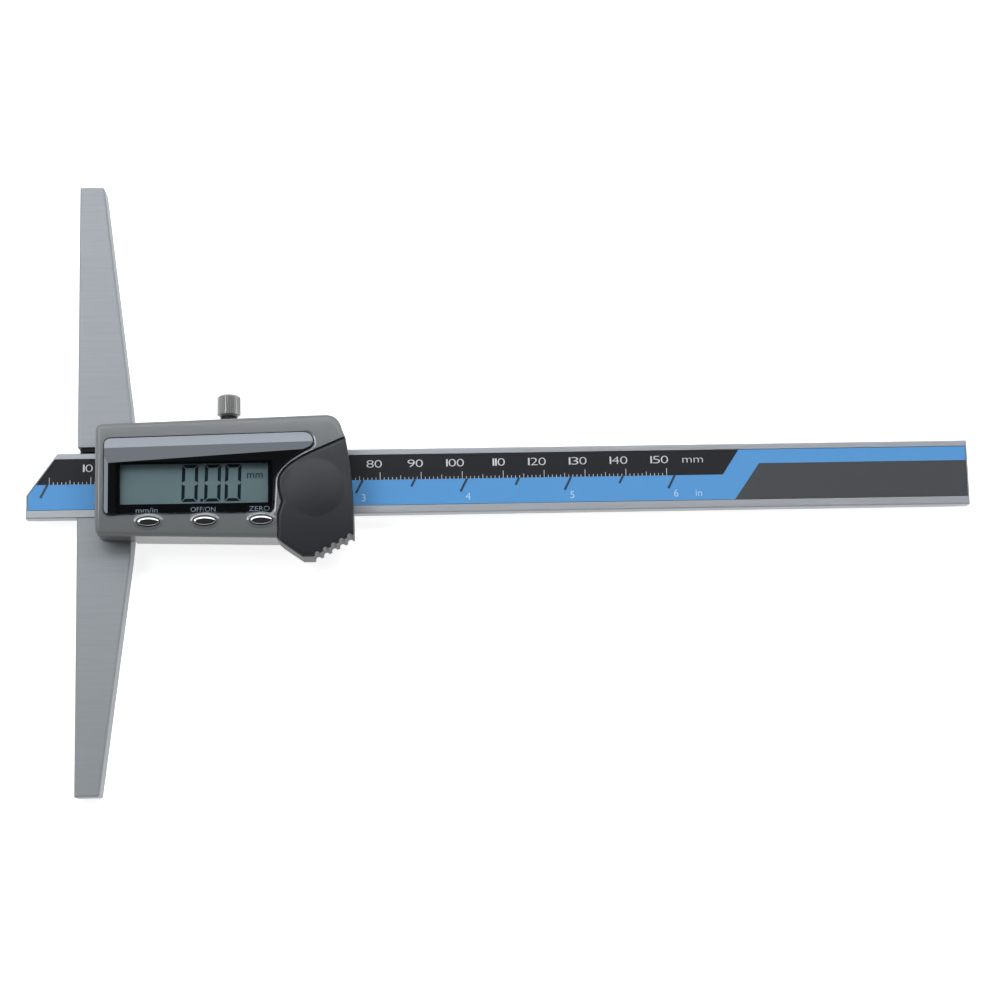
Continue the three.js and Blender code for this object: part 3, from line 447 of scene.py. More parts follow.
def softSlab(name, points, low, high, radius, steps=7):
    layers = [(points, low)]
    for share in shares(steps):
        angle = share * math.pi / 2
        layers.append((inset(points, radius * (1 - math.cos(angle))), high - radius * (1 - math.sin(angle))))
    return stack(name, layers)


# A body turned about an upright axis, from pairs of radius and height.
def turned(name, profile, x=0, y=0, steps=64):
    return stack(name, [(ellipse(x, y, radius, radius, steps), z) for radius, z in profile])


def rod(x, y, radius, low, high, steps=48):
    return turned("tool", [(radius, low), (radius, high)], x, y, steps)


# Moves a body that was built about the Z axis so that its axis lies along Y.
def layAlongY(obj, x, z):
    lift = Matrix.Translation(Vector((x, 0, z + backZ)) * mm)
    sink = Matrix.Translation(Vector((0, 0, -backZ)) * mm)
    obj.data.transform(lift @ Matrix.Rotation(-math.pi / 2, 4, "X") @ sink)
    return obj


def block(lowX, highX, lowY, highY, lowZ, highZ):
    return slab(rectangle(lowX, highX, lowY, highY), lowZ, highZ)


# A tool with a finish of its own leaves that finish on the faces that it makes.
def combine(obj, tools, operation):
    for tool in tools:
        assign(obj.modifiers.new("combine", "BOOLEAN"), operation=operation, solver="EXACT", object=tool,
               material_mode="TRANSFER" if tool.data.materials else "INDEX")
    settle(obj)
    for tool in tools:
        bpy.data.objects.remove(tool)
    return obj


def cut(obj, *tools):
    return combine(obj, tools, "DIFFERENCE")


def join(obj, *tools):
    return combine(obj, tools, "UNION")


def clean(obj, mergeDistance=0.004, flatAngle=0.5):
    with opened(obj) as shape:
        bmesh.ops.remove_doubles(shape, verts=shape.verts, dist=mergeDistance * mm)
        bmesh.ops.dissolve_limit(
            shape, angle_limit=math.radians(flatAngle), verts=shape.verts, edges=shape.edges,
            delimit={"NORMAL", "MATERIAL"})
    return obj


def roundEdges(obj, width, segments=2, angle=32):
    assign(obj.modifiers.new("edges", "BEVEL"), width=width * mm, segments=segments,
           limit_method="ANGLE", angle_limit=math.radians(angle))
    settle(obj)


# Smooth where edges are shallow, while faces over the flat area keep their own direction.
def shade(obj, angle=28, flatArea=math.inf):
    obj.data.shade_smooth()
    obj.data.set_sharp_from_angle(angle=math.radians(angle))
    for face in obj.data.polygons:
        face.use_smooth = face.area < flatArea * mm ** 2
    assign(obj.modifiers.new("normals", "WEIGHTED_NORMAL"), keep_sharp=True)
    return settle(obj)


# Names a finished piece, gives it its body and its finish, and hides the imported nodes that it stands for.
# A piece that came with two finishes or more keeps them.
def place(obj, name, finish, body, nodes=()):
    obj.name = name
    obj.data.name = name
    if len(obj.data.materials) < 2:
        obj.data.materials.clear()
        obj.data.materials.append(finishes[finish])
    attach(obj, body)
    if nodes:
        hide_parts(*nodes)


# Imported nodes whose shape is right, with their hard edges broken over a width in millimetres.
def breakEdges(finish, slotName, width, *nodes, reshape=None):
    for node in nodes:
        source = frame["nodes"][node]
        obj = clean(addObject(node, source.data.copy()))
        if reshape:
            reshape(obj)
        if width:
            roundEdges(obj, width)
        place(shade(obj), node + "_finished", finish, body_of(source)[0], [node])


def boxOf(node):
    low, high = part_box(node)
    down = Vector((0, 0, backZ))
    return low / mm - down, high / mm - down


# Geometry Nodes


# A tree with inputs named by kind, as in Float=["Width"]. Each has a mesh and a finish besides.
def startTree(name, **inputs):
    tree = bpy.data.node_groups.new(name, "GeometryNodeTree")
    for kind, sockets in {"Geometry": ["Geometry"], **inputs, "Material": ["Finish"]}.items():
        for socket in sockets:
            tree.interface.new_socket(socket, in_out="INPUT", socket_type="NodeSocket" + kind)
    tree.interface.new_socket("Geometry", in_out="OUTPUT", socket_type="NodeSocketGeometry")
    return tree, addNode(tree, "NodeGroupInput")


def endTree(tree, geometry, finish):
    real = addNode(tree, "GeometryNodeRealizeInstances", {"Geometry": geometry})[0]
    dressed = addNode(tree, "GeometryNodeSetMaterial", {"Geometry": real, "Material": finish})[0]
    addNode(tree, "NodeGroupOutput", {"Geometry": dressed})
    return tree


# Runs a tree on an object's mesh and keeps the result as a plain mesh. Lengths are in millimetres.
def grow(obj, tree, finish, lengths, others):
    modifier = obj.modifiers.new("tree", "NODES")
    modifier.node_group = tree
    values = {name: length * mm for name, length in lengths.items()}
    values.update(others, Finish=finishes[finish])
    for item in tree.interface.items_tree:
        if item.in_out == "INPUT" and item.name in values:
            modifier[item.identifier] = values[item.name]
    return settle(obj)


# Camera, floor and lights

studio = {
    "camera": (80.8, -102.4, 548.8),
    "cameraTurn": (10.18, -2.03, -1.29),
    "lens": 81.74,
    "sensor": 36,
    "clipStart": 10,
    "aim": (60, 0, 0),
    "floorSize": 6000,
    "floorDrop": 0.05,
    "floorGlow": 0.77,
    "wallLight": 0.75,
    "ceilingLight": 0.06,
    "wallTop": 0.5,  # the sine of the height above the horizon where the walls turn into the ceiling
    "ceilingEdge": 0.78,
    "nearShare": 0.5,  # of the walls' light, on the side that the camera stands
    "nearTurn": (-1.0, 0.5),  # where the near side ends and the far one starts, as sines
}
lamps = {
    "key": {"place": (60, 1000, 940), "size": (2300, 460), "power": 6.9, "colour": "#ffffff"},
    "strip": {"place": (60, 479, 797), "size": (1700, 34), "power": 2.4, "colour": "#f7faff"},
    "band": {"place": (60, 346, 797), "size": (1700, 80), "power": 2.3, "colour": "#f7faff"},
    "side": {"place": (-412, 150, 790), "size": (220, 220), "power": 1.2, "colour": "#f7faff"},
    "fill": {"place": (60, -900, 300), "size": (1200, 300), "power": 0.4, "colour": "#ffffff"},
}


def buildCamera():
    camera = addObject("camera", bpy.data.cameras.new("camera"))
    assign(camera.data, lens=studio["lens"], sensor_width=studio["sensor"],
           clip_start=studio["clipStart"] * mm)
    camera.location = Vector(studio["camera"]) * mm
    camera.rotation_euler = Euler([math.radians(a) for a in studio["cameraTurn"]], "XYZ")
    bpy.context.scene.camera = camera


# The white ground is seen by the camera and in reflections, and still takes the gauge's shadow.
def buildFloor():
    half, drop = studio["floorSize"] / 2, studio["floorDrop"]
    corners = [(p.x, p.y, -drop) for p in rectangle(-half, half, -half, half)]
    floor = makeObject("floor", corners, [(0, 1, 2, 3)])
    material, tree = startMaterial("Paper sweep white")
    matt = addNode(tree, "ShaderNodeBsdfDiffuse", {"Color": linear("#e8e8e8")})[0]
    path = addNode(tree, "ShaderNodeLightPath")
    seen = path["Is Camera Ray"]
    for ray in ("Is Glossy Ray", "Is Transmission Ray"):
        seen = addNode(tree, "ShaderNodeMath", {0: seen, 1: path[ray]}, operation="MAXIMUM")[0]
    strength = addNode(tree, "ShaderNodeMath", {0: seen, 1: studio["floorGlow"]}, operation="MULTIPLY")[0]
    glow = addNode(tree, "ShaderNodeEmission", {"Strength": strength})[0]
    both = addNode(tree, "ShaderNodeAddShader", {0: matt, 1: glow})[0]
    floor.data.materials.append(endMaterial(material, both))


def buildWorld():
    world = bpy.data.worlds.new("studio")
    bpy.context.scene.world = world
    world.use_nodes = True
    tree = world.node_tree
    tree.nodes.clear()
    direction = addNode(tree, "ShaderNodeTexCoord")["Generated"]
    split = addNode(tree, "ShaderNodeSeparateXYZ", {0: direction})
    walls = addNode(tree, "ShaderNodeMapRange", {
        "Value": split[2], "From Min": studio["wallTop"], "From Max": studio["ceilingEdge"],
        "To Min": studio["wallLight"], "To Max": studio["ceilingLight"]})[0]
    nearEnd, farStart = studio["nearTurn"]
    side = addNode(tree, "ShaderNodeMapRange", {
        "Value": split[1], "From Min": nearEnd, "From Max": farStart, "To Min": studio["nearShare"],
        "To Max": 1.0})[0]
    room = addNode(tree, "ShaderNodeMath", {0: walls, 1: side}, operation="MULTIPLY")[0]
    seen = addNode(tree, "ShaderNodeLightPath")["Is Camera Ray"]
    strength = addNode(tree, "ShaderNodeMath", {0: room, 1: seen}, operation="MAXIMUM")[0]
    sky = addNode(tree, "ShaderNodeBackground", {"Color": linear("#ffffff"), "Strength": strength})[0]
    addNode(tree, "ShaderNodeOutputWorld", {"Surface": sky})


def buildLamps():
    for name, lamp in lamps.items():
        length, width = lamp["size"]
        light = assign(bpy.data.lights.new(name, "AREA"), shape="RECTANGLE", size=length * mm,
                       size_y=width * mm, energy=lamp["power"], color=linear(lamp["colour"])[:3])
        obj = addObject(name, light)
        obj.location = Vector(lamp["place"]) * mm
        toAim = Vector(studio["aim"]) - Vector(lamp["place"])
        obj.rotation_euler = toAim.to_track_quat("-Z", "Y").to_euler()
        obj.visible_camera = False


bpy.context.scene.view_settings.view_transform = "Standard"
buildCamera()
buildFloor()
buildWorld()
buildLamps()
say("camera, floor and lights")

# Outlines on the front of the head

headLow, headHigh = boxOf("housing")
coverLow, coverHigh = boxOf("battery_cover")
windowLow, windowHigh = boxOf("window")
cellLow, cellHigh = boxOf("battery")
cellCentre = (cellLow + cellHigh) / 2
cellRadius = (cellHigh.x - cellLow.x) / 2
head = {
    "left": headLow.x,
    "right": coverHigh.x,
    "halfLeft": 13.75,
    "halfRight": headHigh.y,
    "topLeft": 13.45,
    "topRight": 14.95,
    "front": 15.5,
    "corner": 2.0,
    "cornerX": 60.2,
    "shoulder": (64.3, 11.4),
    "shoulderLean": 0.8,
    "coverTop": (65.1, 9.3),
    "lowCorner": 3.6,
    "lowRight": -14.4,
    "rounding": 1.3,
    "skirt": headLow.z,
    "wall": 1.2,
    "lowCrown": 0.8,
    "lowCrownStart": -4,
    "topCrown": 0.45,
    "topCrownStart": 3,
    "crownReach": 0.5,
}
seam = {"top": (57.2, 6.4), "waist": (48.6, -1.6), "foot": (49.5, -6.2), "rib": 0.32}
windowShape = {
    "left": 7.4,
    "topLeft": 9.9,
    "topRight": 10.75,
    "right": 57.6,
    "bottom": -9.1,
    "corner": 1.8,
    "topCorner": 3.0,
    "lowRight": [(47.95, -7.4), (47.95, -9.1), (46.5, -9.1)],
    "browRise": 0.35,
    "ledge": 0.6,
    "gap": 0.2,
    "back": windowLow.z,
    "front": windowHigh.z,
    "seat": windowLow.z - 0.05,
}
coverShape = {
    "left": 48.8,
    "leftTop": -9.3,
    "thumbStart": (49.9, -16.2),
    "thumbTip": (54.6, 57.2, coverLow.y),
    "low": coverLow.z,
    "rounding": 0.9,
    "roundingSteps": 6,
    "edge": 0.15,
    "plate": 1.0,
    "grooveCount": 5,
    "grooveRadius": 0.7,
    "grooveSides": 32,
    "domeMargin": 1.4,
    "domeHeight": 0.4,
    "domeRoot": 0.05,
    "domeSteps": 12,
}
buttonNames = ("button_units", "button_power", "button_zero")
buttonLow, buttonHigh = boxOf("button_units")
button = {
    "places": [sum(end.x for end in boxOf(name)) / 2 for name in buttonNames],
    "y": (buttonLow.y + buttonHigh.y) / 2,
    "halfLength": 2.65,
    "halfWidth": 1.05,
    "collarLength": 3.65,
    "collarWidth": 2.0,
    "collarHeight": 0.2,
    "collarSlope": 0.78,
    "collarSteps": 4,
    "collarBulge": 0.35,
    "collarRoot": 1,
    "collarLift": 0.01,
    "top": buttonHigh.z,
    "dome": 0.45,
    "domePower": 3.2,  # 2 is an ellipse, and more is flatter in the middle
    "domeSteps": 15,
    "flangeMargin": 0.45,
    "flangeThickness": 0.6,
    "capRoot": 0.05,
    "stemRadius": 1.2,
    "stemRoot": 0.1,
    "pocketTop": 14.2,
    "smoothAngle": 35,
}


def headOutline():
    h = head
    left, right, low, lean = h["left"], h["right"], -h["halfLeft"], h["shoulderLean"]
    inner = left + h["corner"]
    return drawOutline((inner, low), [
        [(h["cornerX"], -h["halfRight"])],
        [(right, -h["halfRight"]), (right, h["lowRight"] + h["lowCorner"])],
        [(right, 0), h["coverTop"]],
        [h["shoulder"]],
        [(h["shoulder"][0] - lean, h["topRight"]), (h["cornerX"], h["topRight"])],
        [(inner, h["topLeft"])],
        [(left, h["topLeft"]), (left, h["topLeft"] - h["corner"])],
        [(left, low + h["corner"])],
        [(left, low), (inner, low)],
    ])


# The curved seam between window and cover, shifted sideways, from its top to its foot.
def seamDown(side):
    (topX, topY), (waistX, waistY), (footX, footY) = seam["top"], seam["waist"], seam["foot"]
    return [
        [(topX + side, topY - side)],
        [(waistX + side, (topY + waistY) / 2), (waistX + side, waistY)],
        [(waistX + side, (waistY + footY) / 2), (footX + side, footY)],
    ]


# The window's opening. Its lower edge rises in a brow above each button.
def windowOutline():
    w = windowShape
    left, low, reach = w["left"], w["bottom"], button["collarLength"]
    strokes = [
        [(left, w["topLeft"]), (left + w["corner"], w["topLeft"])],
        [(w["right"] - w["topCorner"], w["topRight"])],
        [(w["right"], w["topRight"]), (w["right"], w["topRight"] - w["topCorner"])],
        *seamDown(-seam["rib"])[:2],
        w["lowRight"][:1],
        w["lowRight"][1:],
    ]
    for x in reversed(button["places"]):
        strokes.append([(min(x + reach, w["lowRight"][2][0]), low)])
        strokes.append([(x, low + 2 * w["browRise"]), (x - reach, low)])
    strokes.append([(left + w["corner"], low)])
    strokes.append([(left, low), (left, low + w["corner"])])
    strokes.append([(left, w["topLeft"] - w["corner"])])
    return drawOutline((left, w["topLeft"] - w["corner"]), strokes)


def coverOutline():
    c, right = coverShape, head["right"]
    tipLeft, tipRight, tipY = c["thumbTip"]
    return drawOutline(head["coverTop"], [
        *seamDown(seam["rib"]),
        [(c["left"], c["leftTop"])],
        [(c["left"], -head["halfRight"])],
        [c["thumbStart"]],
        [(tipLeft, tipY)],
        [(tipRight, tipY)],
        [(right, head["lowRight"])],
        [(right, 0), head["coverTop"]],
    ])


# Housing

boardLow, boardHigh = boxOf("circuit_board")
framing = {
    "boardBack": boardLow.z,
    "boardFront": boardHigh.z,
    "boardStart": boardLow.x,
    "boardEnd": boardHigh.x,
    "ceiling": 13.2,
    "cavityRight": 62.4,
    "cavityHalf": 12.7,
    "slotBottom": -8.1,
    "slotTop": 9.3,
    "armTop": 7.3,
    "clear": 0.3,
    "bossRadius": 1.6,
    "bossGap": 0.05,
    "bossRoot": 1,
    "shortBoss": "housing_screw_low_left",
    "shortBossGap": 0.6,
    "pilotRadius": 0.95,
    "screwLength": 11.6,
    "cellWall": 1,
    "cellWallGap": 1.1,
    "cellWallRoot": 0.6,
    "leafReach": 1.8,
    "leafOverlap": 0.3,
    "deck": 14.25,
    "neckRadius": 2.08,
    "neckRoom": 10,
    "neckSlot": 10.5,
    "edge": 0.12,
    "beyond": 20,  # clear of the head on either side
}
rim = {
    "start": 0.02,
    "width": 0.6,
    "cornerWidth": 0.75,
    "cornerFacing": (0.82, -0.57),
    "cornerSharpness": 16,
    "sideGain": 3,
    "sideLeast": 0.04,
    "depth": 0.19,
    "lift": 0.003,
    "steps": [(0.3, 0.62), (0.65, 0.27), (1, 0)],  # share of the width, and of the depth
}
screwNodes = [
    "crosspiece_screw_top",
    "crosspiece_screw_low",
    "housing_screw_top_left",
    "housing_screw_top_right",
    "housing_screw_low_left",
    "housing_screw_low_right",
]
screwPlaces = {name: (boxOf(name)[0] + boxOf(name)[1]) / 2 for name in screwNodes}
housingScrews = {name: at for name, at in screwPlaces.items() if name.startswith("housing")}
lockLow, lockHigh = boxOf("lock_screw")
lockPlace = (lockLow + lockHigh) / 2


# How far the front lies below its middle, for a place across it.
def crownDrop(y):
    below = max(head["lowCrownStart"] - y, 0) / (head["lowCrownStart"] + head["halfRight"])
    above = max(y - head["topCrownStart"], 0) / (head["topRight"] - head["topCrownStart"])
    return head["lowCrown"] * below ** 2 + head["topCrown"] * above ** 2


# Bends the front down towards its long edges, in strips that stay flat. The bend fades out at a depth
# below the front, which grows past the head's lower edge.
def crownFront(obj, lowY, highY, depth, strips=24):
    with opened(obj) as shape:
        for strip in range(1, strips):
            y = (lowY + (highY - lowY) * strip / strips) * mm
            geometry = [*shape.verts, *shape.edges, *shape.faces]
            bmesh.ops.bisect_plane(shape, geom=geometry, plane_co=(0, y, 0), plane_no=(0, 1, 0), dist=weld)
        for vertex in shape.verts:
            y = vertex.co.y / mm
            reach = depth + max(-head["halfRight"] + head["wall"] - y, 0) * head["crownReach"]
            share = (vertex.co.z / mm - backZ - head["front"] + reach) / reach
            vertex.co.z -= crownDrop(y) * min(max(share, 0), 1) * mm


def coverRoom():
    zone = slab(inset(coverOutline(), -windowShape["gap"]), -over, head["front"] + over)
    core = slab(inset(headOutline(), head["wall"] + framing["clear"]), -2 * over, framing["deck"])
    return cut(zone, core)


# An ellipse round each button, wider than its cap by a margin.
def roundButtons(margin, steps=64):
    length, width = button["halfLength"] + margin, button["halfWidth"] + margin
    return [ellipse(x, button["y"], length, width, steps) for x in button["places"]]


# The inside of the head, with posts for the screws and a wall round the cell.
def hollowOut(shell):
    f = framing
    hollow = block(head["left"] + head["wall"], f["cavityRight"], -f["cavityHalf"], f["cavityHalf"],
                   -over, f["ceiling"])
    pockets = [slab(points, f["boardFront"], button["pocketTop"])
               for points in roundButtons(button["flangeMargin"] + windowShape["gap"])]
    cut(shell, hollow, *pockets)
    bosses = []
    for name, at in housingScrews.items():
        gap = f["shortBossGap"] if name == f["shortBoss"] else f["bossGap"]
        bosses.append(rod(at.x, at.y, f["bossRadius"], f["boardFront"] + gap, f["ceiling"] + f["bossRoot"]))
    wallRadius = cellRadius + windowShape["gap"] + f["cellWall"]
    bosses.append(rod(cellCentre.x, cellCentre.y, wallRadius, f["boardFront"] + f["cellWallGap"],
                      f["ceiling"] + f["cellWallRoot"], fine))
    join(shell, *bosses)


def polished(tool):
    tool.data.materials.append(finishes["housingPolished"])
    return tool


def addCollars(shell):
    b, front = button, head["front"]
    for x in b["places"]:
        foot = ellipse(x, b["y"], b["collarLength"], b["collarWidth"], fine)
        layers = [(foot, front - b["collarRoot"])]
        for share in shares(b["collarSteps"]):
            rise = share * (1 + b["collarBulge"] * (1 - share))
            layers.append((inset(foot, b["collarSlope"] * share),
                           front + b["collarLift"] + b["collarHeight"] * rise))
        join(shell, polished(stack("tool", layers)))


# The opening's rim slopes in along the seam, most at its lower right corner.
def slopeRim(shell, window, top):
    def slope(facing):
        corner = max(facing.dot(Vector(rim["cornerFacing"])), 0) ** rim["cornerSharpness"]
        side = min(max(facing.x * rim["sideGain"], rim["sideLeast"]), 1)
        return -rim["width"] * side - (rim["cornerWidth"] - rim["width"]) * corner

    layers = [(inset(window, rim["start"]), head["front"] - rim["depth"])]
    for share, sink in rim["steps"]:
        outline = inset(window, lambda facing: slope(facing) * share)
        layers.append((outline, head["front"] + rim["lift"] - rim["depth"] * sink))
    cut(shell, polished(stack("tool", [*layers, (layers[-1][0], top)])))


# Room below for the crosspiece, the frame, the beam and the lock screw.
def clearUnderside(shell):
    f, beyond = framing, framing["beyond"]
    left, right = head["left"] - over, head["right"] + over
    slotLow, slotHigh = f["slotBottom"] - f["clear"], f["slotTop"] + f["clear"]
    neck = f["neckRadius"] + f["clear"]
    for room in (
        (left, right, -beyond, beyond, -over, head["skirt"]),
        (left, f["boardStart"], -beyond, beyond, 0, f["boardBack"]),
        (left, f["boardStart"], f["slotTop"] - f["clear"], beyond, 0, f["armTop"]),
        (left, f["boardStart"], -beyond, f["slotBottom"] + f["clear"], 0, f["armTop"]),
        (f["boardEnd"] - over, right, slotLow, slotHigh, 0, f["boardBack"]),
    ):
        cut(shell, block(*room))
    cut(shell, layAlongY(rod(0, 0, neck, f["neckRoom"], beyond), lockPlace.x, lockPlace.z))
    cut(shell, block(lockPlace.x - neck, lockPlace.x + neck, f["neckSlot"], beyond, -over, lockPlace.z))


def openHoles(shell, top):
    f = framing
    for points in roundButtons(windowShape["gap"], fine):
        cut(shell, slab(points, f["boardFront"], top))
    cut(shell, *[rod(at.x, at.y, f["pilotRadius"], 0, f["screwLength"] + f["clear"])
                 for at in housingScrews.values()])
    cut(shell, rod(cellCentre.x, cellCentre.y, cellRadius + windowShape["gap"], 0, top, fine))
    leafY, reach = cellCentre.y + cellRadius - f["leafOverlap"], f["leafReach"]
    cut(shell, block(cellCentre.x - reach, cellCentre.x + reach, leafY, leafY + reach, 0, f["ceiling"]))


def buildHousing():
    top = head["front"] + over
    window = windowOutline()
    shell = softSlab("housing", headOutline(), 0, head["front"], head["rounding"])
    shell.data.materials.append(finishes["housing"])
    hollowOut(shell)
    cut(shell, coverRoom())
    cut(shell, slab(window, windowShape["seat"], top))
    cut(shell, slab(inset(window, windowShape["ledge"]), framing["boardFront"], top))
    addCollars(shell)
    slopeRim(shell, window, top)
    clean(shell)
    crownFront(shell, -head["halfRight"], head["topRight"], head["rounding"])
    clearUnderside(shell)
    openHoles(shell, top)
    clean(shell, mergeDistance=0.01, flatAngle=0.2)
    roundEdges(shell, framing["edge"])
    place(shade(shell), "housing_finished", "housing", "head", ["housing"])


buildHousing()
say("housing")

# Window, with a wide bevel along its upper edge and left end

lens = {
    "rounding": 0.35,
    "roundingSteps": 6,
    "facets": [  # the inner edge with its depths, and the tilt outwards from there
        {"start": (8.75, 3.6, 0.0), "end": (55.4, 6.3, 0.0), "tilt": 6.1},
        {"start": (8.0, 7.3, 0.4), "end": (56.0, 8.2, 0.2), "tilt": 9.85},
        {"start": (8.6, -9.0, 0.0), "end": (8.6, 10.0, 0.0), "tilt": 10.4},
    ],
    "sharpAngle": 20,
    "flatArea": 2,
}


# Takes off all that lies above a plane and closes the cut.
def planeOff(obj, facet, front):
    start, end = [Vector((x, y, front - depth + backZ)) for x, y, depth in (facet["start"], facet["end"])]
    along = end - start
    tilt = math.radians(facet["tilt"])
    outwards = Vector((-along.y, along.x, 0)).normalized()
    downhill = outwards * math.cos(tilt) - Vector((0, 0, math.sin(tilt)))
    normal = along.cross(downhill).normalized()
    normal *= 1 if normal.z > 0 else -1
    with opened(obj) as shape:
        made = bmesh.ops.bisect_plane(
            shape, geom=[*shape.verts, *shape.edges, *shape.faces], dist=weld, plane_co=start * mm,
            plane_no=normal, clear_outer=True)
        edges = [part for part in made["geom_cut"] if isinstance(part, bmesh.types.BMEdge)]
        bmesh.ops.edgeloop_fill(shape, edges=edges)
        bmesh.ops.recalc_face_normals(shape, faces=shape.faces)


def buildWindow():
    w = windowShape
    outer = inset(windowOutline(), w["gap"])
    window = softSlab("window", outer, w["back"], w["front"], lens["rounding"], lens["roundingSteps"])
    for facet in lens["facets"]:
        planeOff(window, facet, w["front"])
    shade(window, lens["sharpAngle"], lens["flatArea"])
    place(window, "window_finished", "window", "head", ["window"])


buildWindow()
say("window")

# Ink on the back of the window, and the mask below it

printing = {
    "inkLow": 14.205,
    "inkHigh": 14.228,
    "edgeGap": 0.1,
    "wordLow": 14.232,
    "wordHigh": 14.246,
    "wordSize": 1.65,
    "wordShift": -0.45,
    "wordY": -7.75,
    "words": {"mm/in": 5.2, "OFF/ON": 5.9, "ZERO": 4.9},  # with their widths
    "view": (11.2, 46.5, -6.25, 3.5),
}


# Text as a flat mesh, as wide as asked where a width is given.
def letter(words, size, x, y, low, high, width=None, swell=0.0):
    curve = assign(
        bpy.data.curves.new("words", "FONT"), body=words, size=size, align_x="CENTER", align_y="CENTER",
        offset=swell, extrude=(high - low) / 2, resolution_u=4)
    holder = addObject("words", curve)
    mesh = meshOf(holder)
    bpy.data.objects.remove(holder)
    spread = max(v.co.x for v in mesh.vertices) - min(v.co.x for v in mesh.vertices)
    stretch = width / spread if width else 1
    middle = Vector((x, y, (low + high) / 2 + backZ)) * mm
    mesh.transform(Matrix.Translation(middle) @ Matrix.Diagonal((stretch * mm, mm, mm, 1)))
    return mesh


def gather(name, meshes):
    obj = makeObject(name)
    with opened(obj) as shape:
        for mesh in meshes:
            shape.from_mesh(mesh)
        bmesh.ops.remove_doubles(shape, verts=shape.verts, dist=weld)
        bmesh.ops.recalc_face_normals(shape, faces=shape.faces)
    return obj


def buildPrinting():
    p = printing
    border = slab(inset(windowOutline(), windowShape["gap"] + p["edgeGap"]), p["inkLow"], p["inkHigh"])
    cut(border, block(*p["view"], p["inkLow"] - over, p["inkHigh"] + over))
    place(shade(border), "window_border_ink", "maskInk", "head")
    words = [letter(word, p["wordSize"], x + p["wordShift"], p["wordY"], p["wordLow"], p["wordHigh"], width)
             for (word, width), x in zip(p["words"].items(), button["places"])]
    place(gather("words", words), "window_words_ink", "labelInk", "head")
    breakEdges("maskInk", "mask_ink", 0, "display_mask")


buildPrinting()
say("printing on the window")

# Display with its segments

display = {
    "digitLefts": [25.7, 31.15, 36.0],
    "digitWidth": 3.85,
    "low": -5.65,
    "high": 3.35,
    "lean": 0.03,
    "stroke": 0.76,
    "gap": 0.16,
    "front": boxOf("lcd_panel")[1].z,
    "lift": 0.002,
    "thickness": 0.02,
    "point": 0.7,
    "pointGap": 0.55,
    "unitX": 43.3,
    "unitY": 0.7,
    "unitSize": 2.6,
}


# The six bars of a nought, upright, between its corners.
def noughtBars(width, height):
    s, g, half = display["stroke"], display["gap"], height / 2
    upright = [
        (0, g), (0, half - g / 2), (s / 2, half - g / 2 - s / 2), (s, half - s / 2 - g), (s, s + g),
        (s / 2, g + s / 2)]
    flat = [(g, 0), (width - g, 0), (width - s - g, s), (s + g, s)]
    bars = [flat, [(x, height - y) for x, y in flat], upright]
    bars.append([(x, height - y) for x, y in upright])
    return bars + [[(width - x, y) for x, y in bar] for bar in bars[2:]]


def buildDisplay():
    d = display
    low, high = d["front"] + d["lift"], d["front"] + d["thickness"]
    bars = []
    for left in d["digitLefts"]:
        for bar in noughtBars(d["digitWidth"], d["high"] - d["low"]):
            bars.append(anticlockwise([Vector((left + x + d["lean"] * y, d["low"] + y)) for x, y in bar]))
    pointX, half = d["digitLefts"][1] - d["pointGap"], d["point"] / 2
    bars.append(rectangle(pointX - half, pointX + half, d["low"], d["low"] + d["point"]))
    bodies = [slab(points, low, high) for points in bars]
    unit = letter("mm", d["unitSize"], d["unitX"], d["unitY"], low, high)
    segments = gather("segments", [*[body.data for body in bodies], unit])
    for body in bodies:
        bpy.data.objects.remove(body)
    place(segments, "lcd_segments", "displaySegment", "head")
    breakEdges("displayGlass", "display_glass", 0.1, "lcd_panel")
    breakEdges("displayFrame", "frame_plastic", 0.08, "lcd_frame")


buildDisplay()
say("display")

# Buttons


def buildButtons():
    b = button
    shoulder = b["top"] - b["dome"]
    flangeTop = b["pocketTop"] - windowShape["gap"]
    flangeLow = flangeTop - b["flangeThickness"]
    for name, x in zip(buttonNames, b["places"]):
        cap = ellipse(x, b["y"], b["halfLength"], b["halfWidth"], fine)
        layers = [(cap, flangeTop - b["capRoot"]), (cap, shoulder)]
        for turn in shares(b["domeSteps"])[1:-1]:
            angle = turn * math.pi / 2
            share = math.cos(angle) ** (2 / b["domePower"])
            height = shoulder + b["dome"] * math.sin(angle) ** (2 / b["domePower"])
            ring = ellipse(x, b["y"], b["halfLength"] * share, b["halfWidth"] * share, fine)
            layers.append((ring, height))
        body = stack(name, layers)
        flange = slab(inset(cap, -b["flangeMargin"]), flangeLow, flangeTop)
        stem = rod(x, b["y"], b["stemRadius"], boxOf(name)[0].z, flangeLow + b["stemRoot"])
        join(body, flange, stem)
        clean(body, mergeDistance=0.002, flatAngle=0.1)
        place(shade(body, b["smoothAngle"]), name + "_finished", "chrome", name, [name])


buildButtons()
say("buttons")

# Battery cover


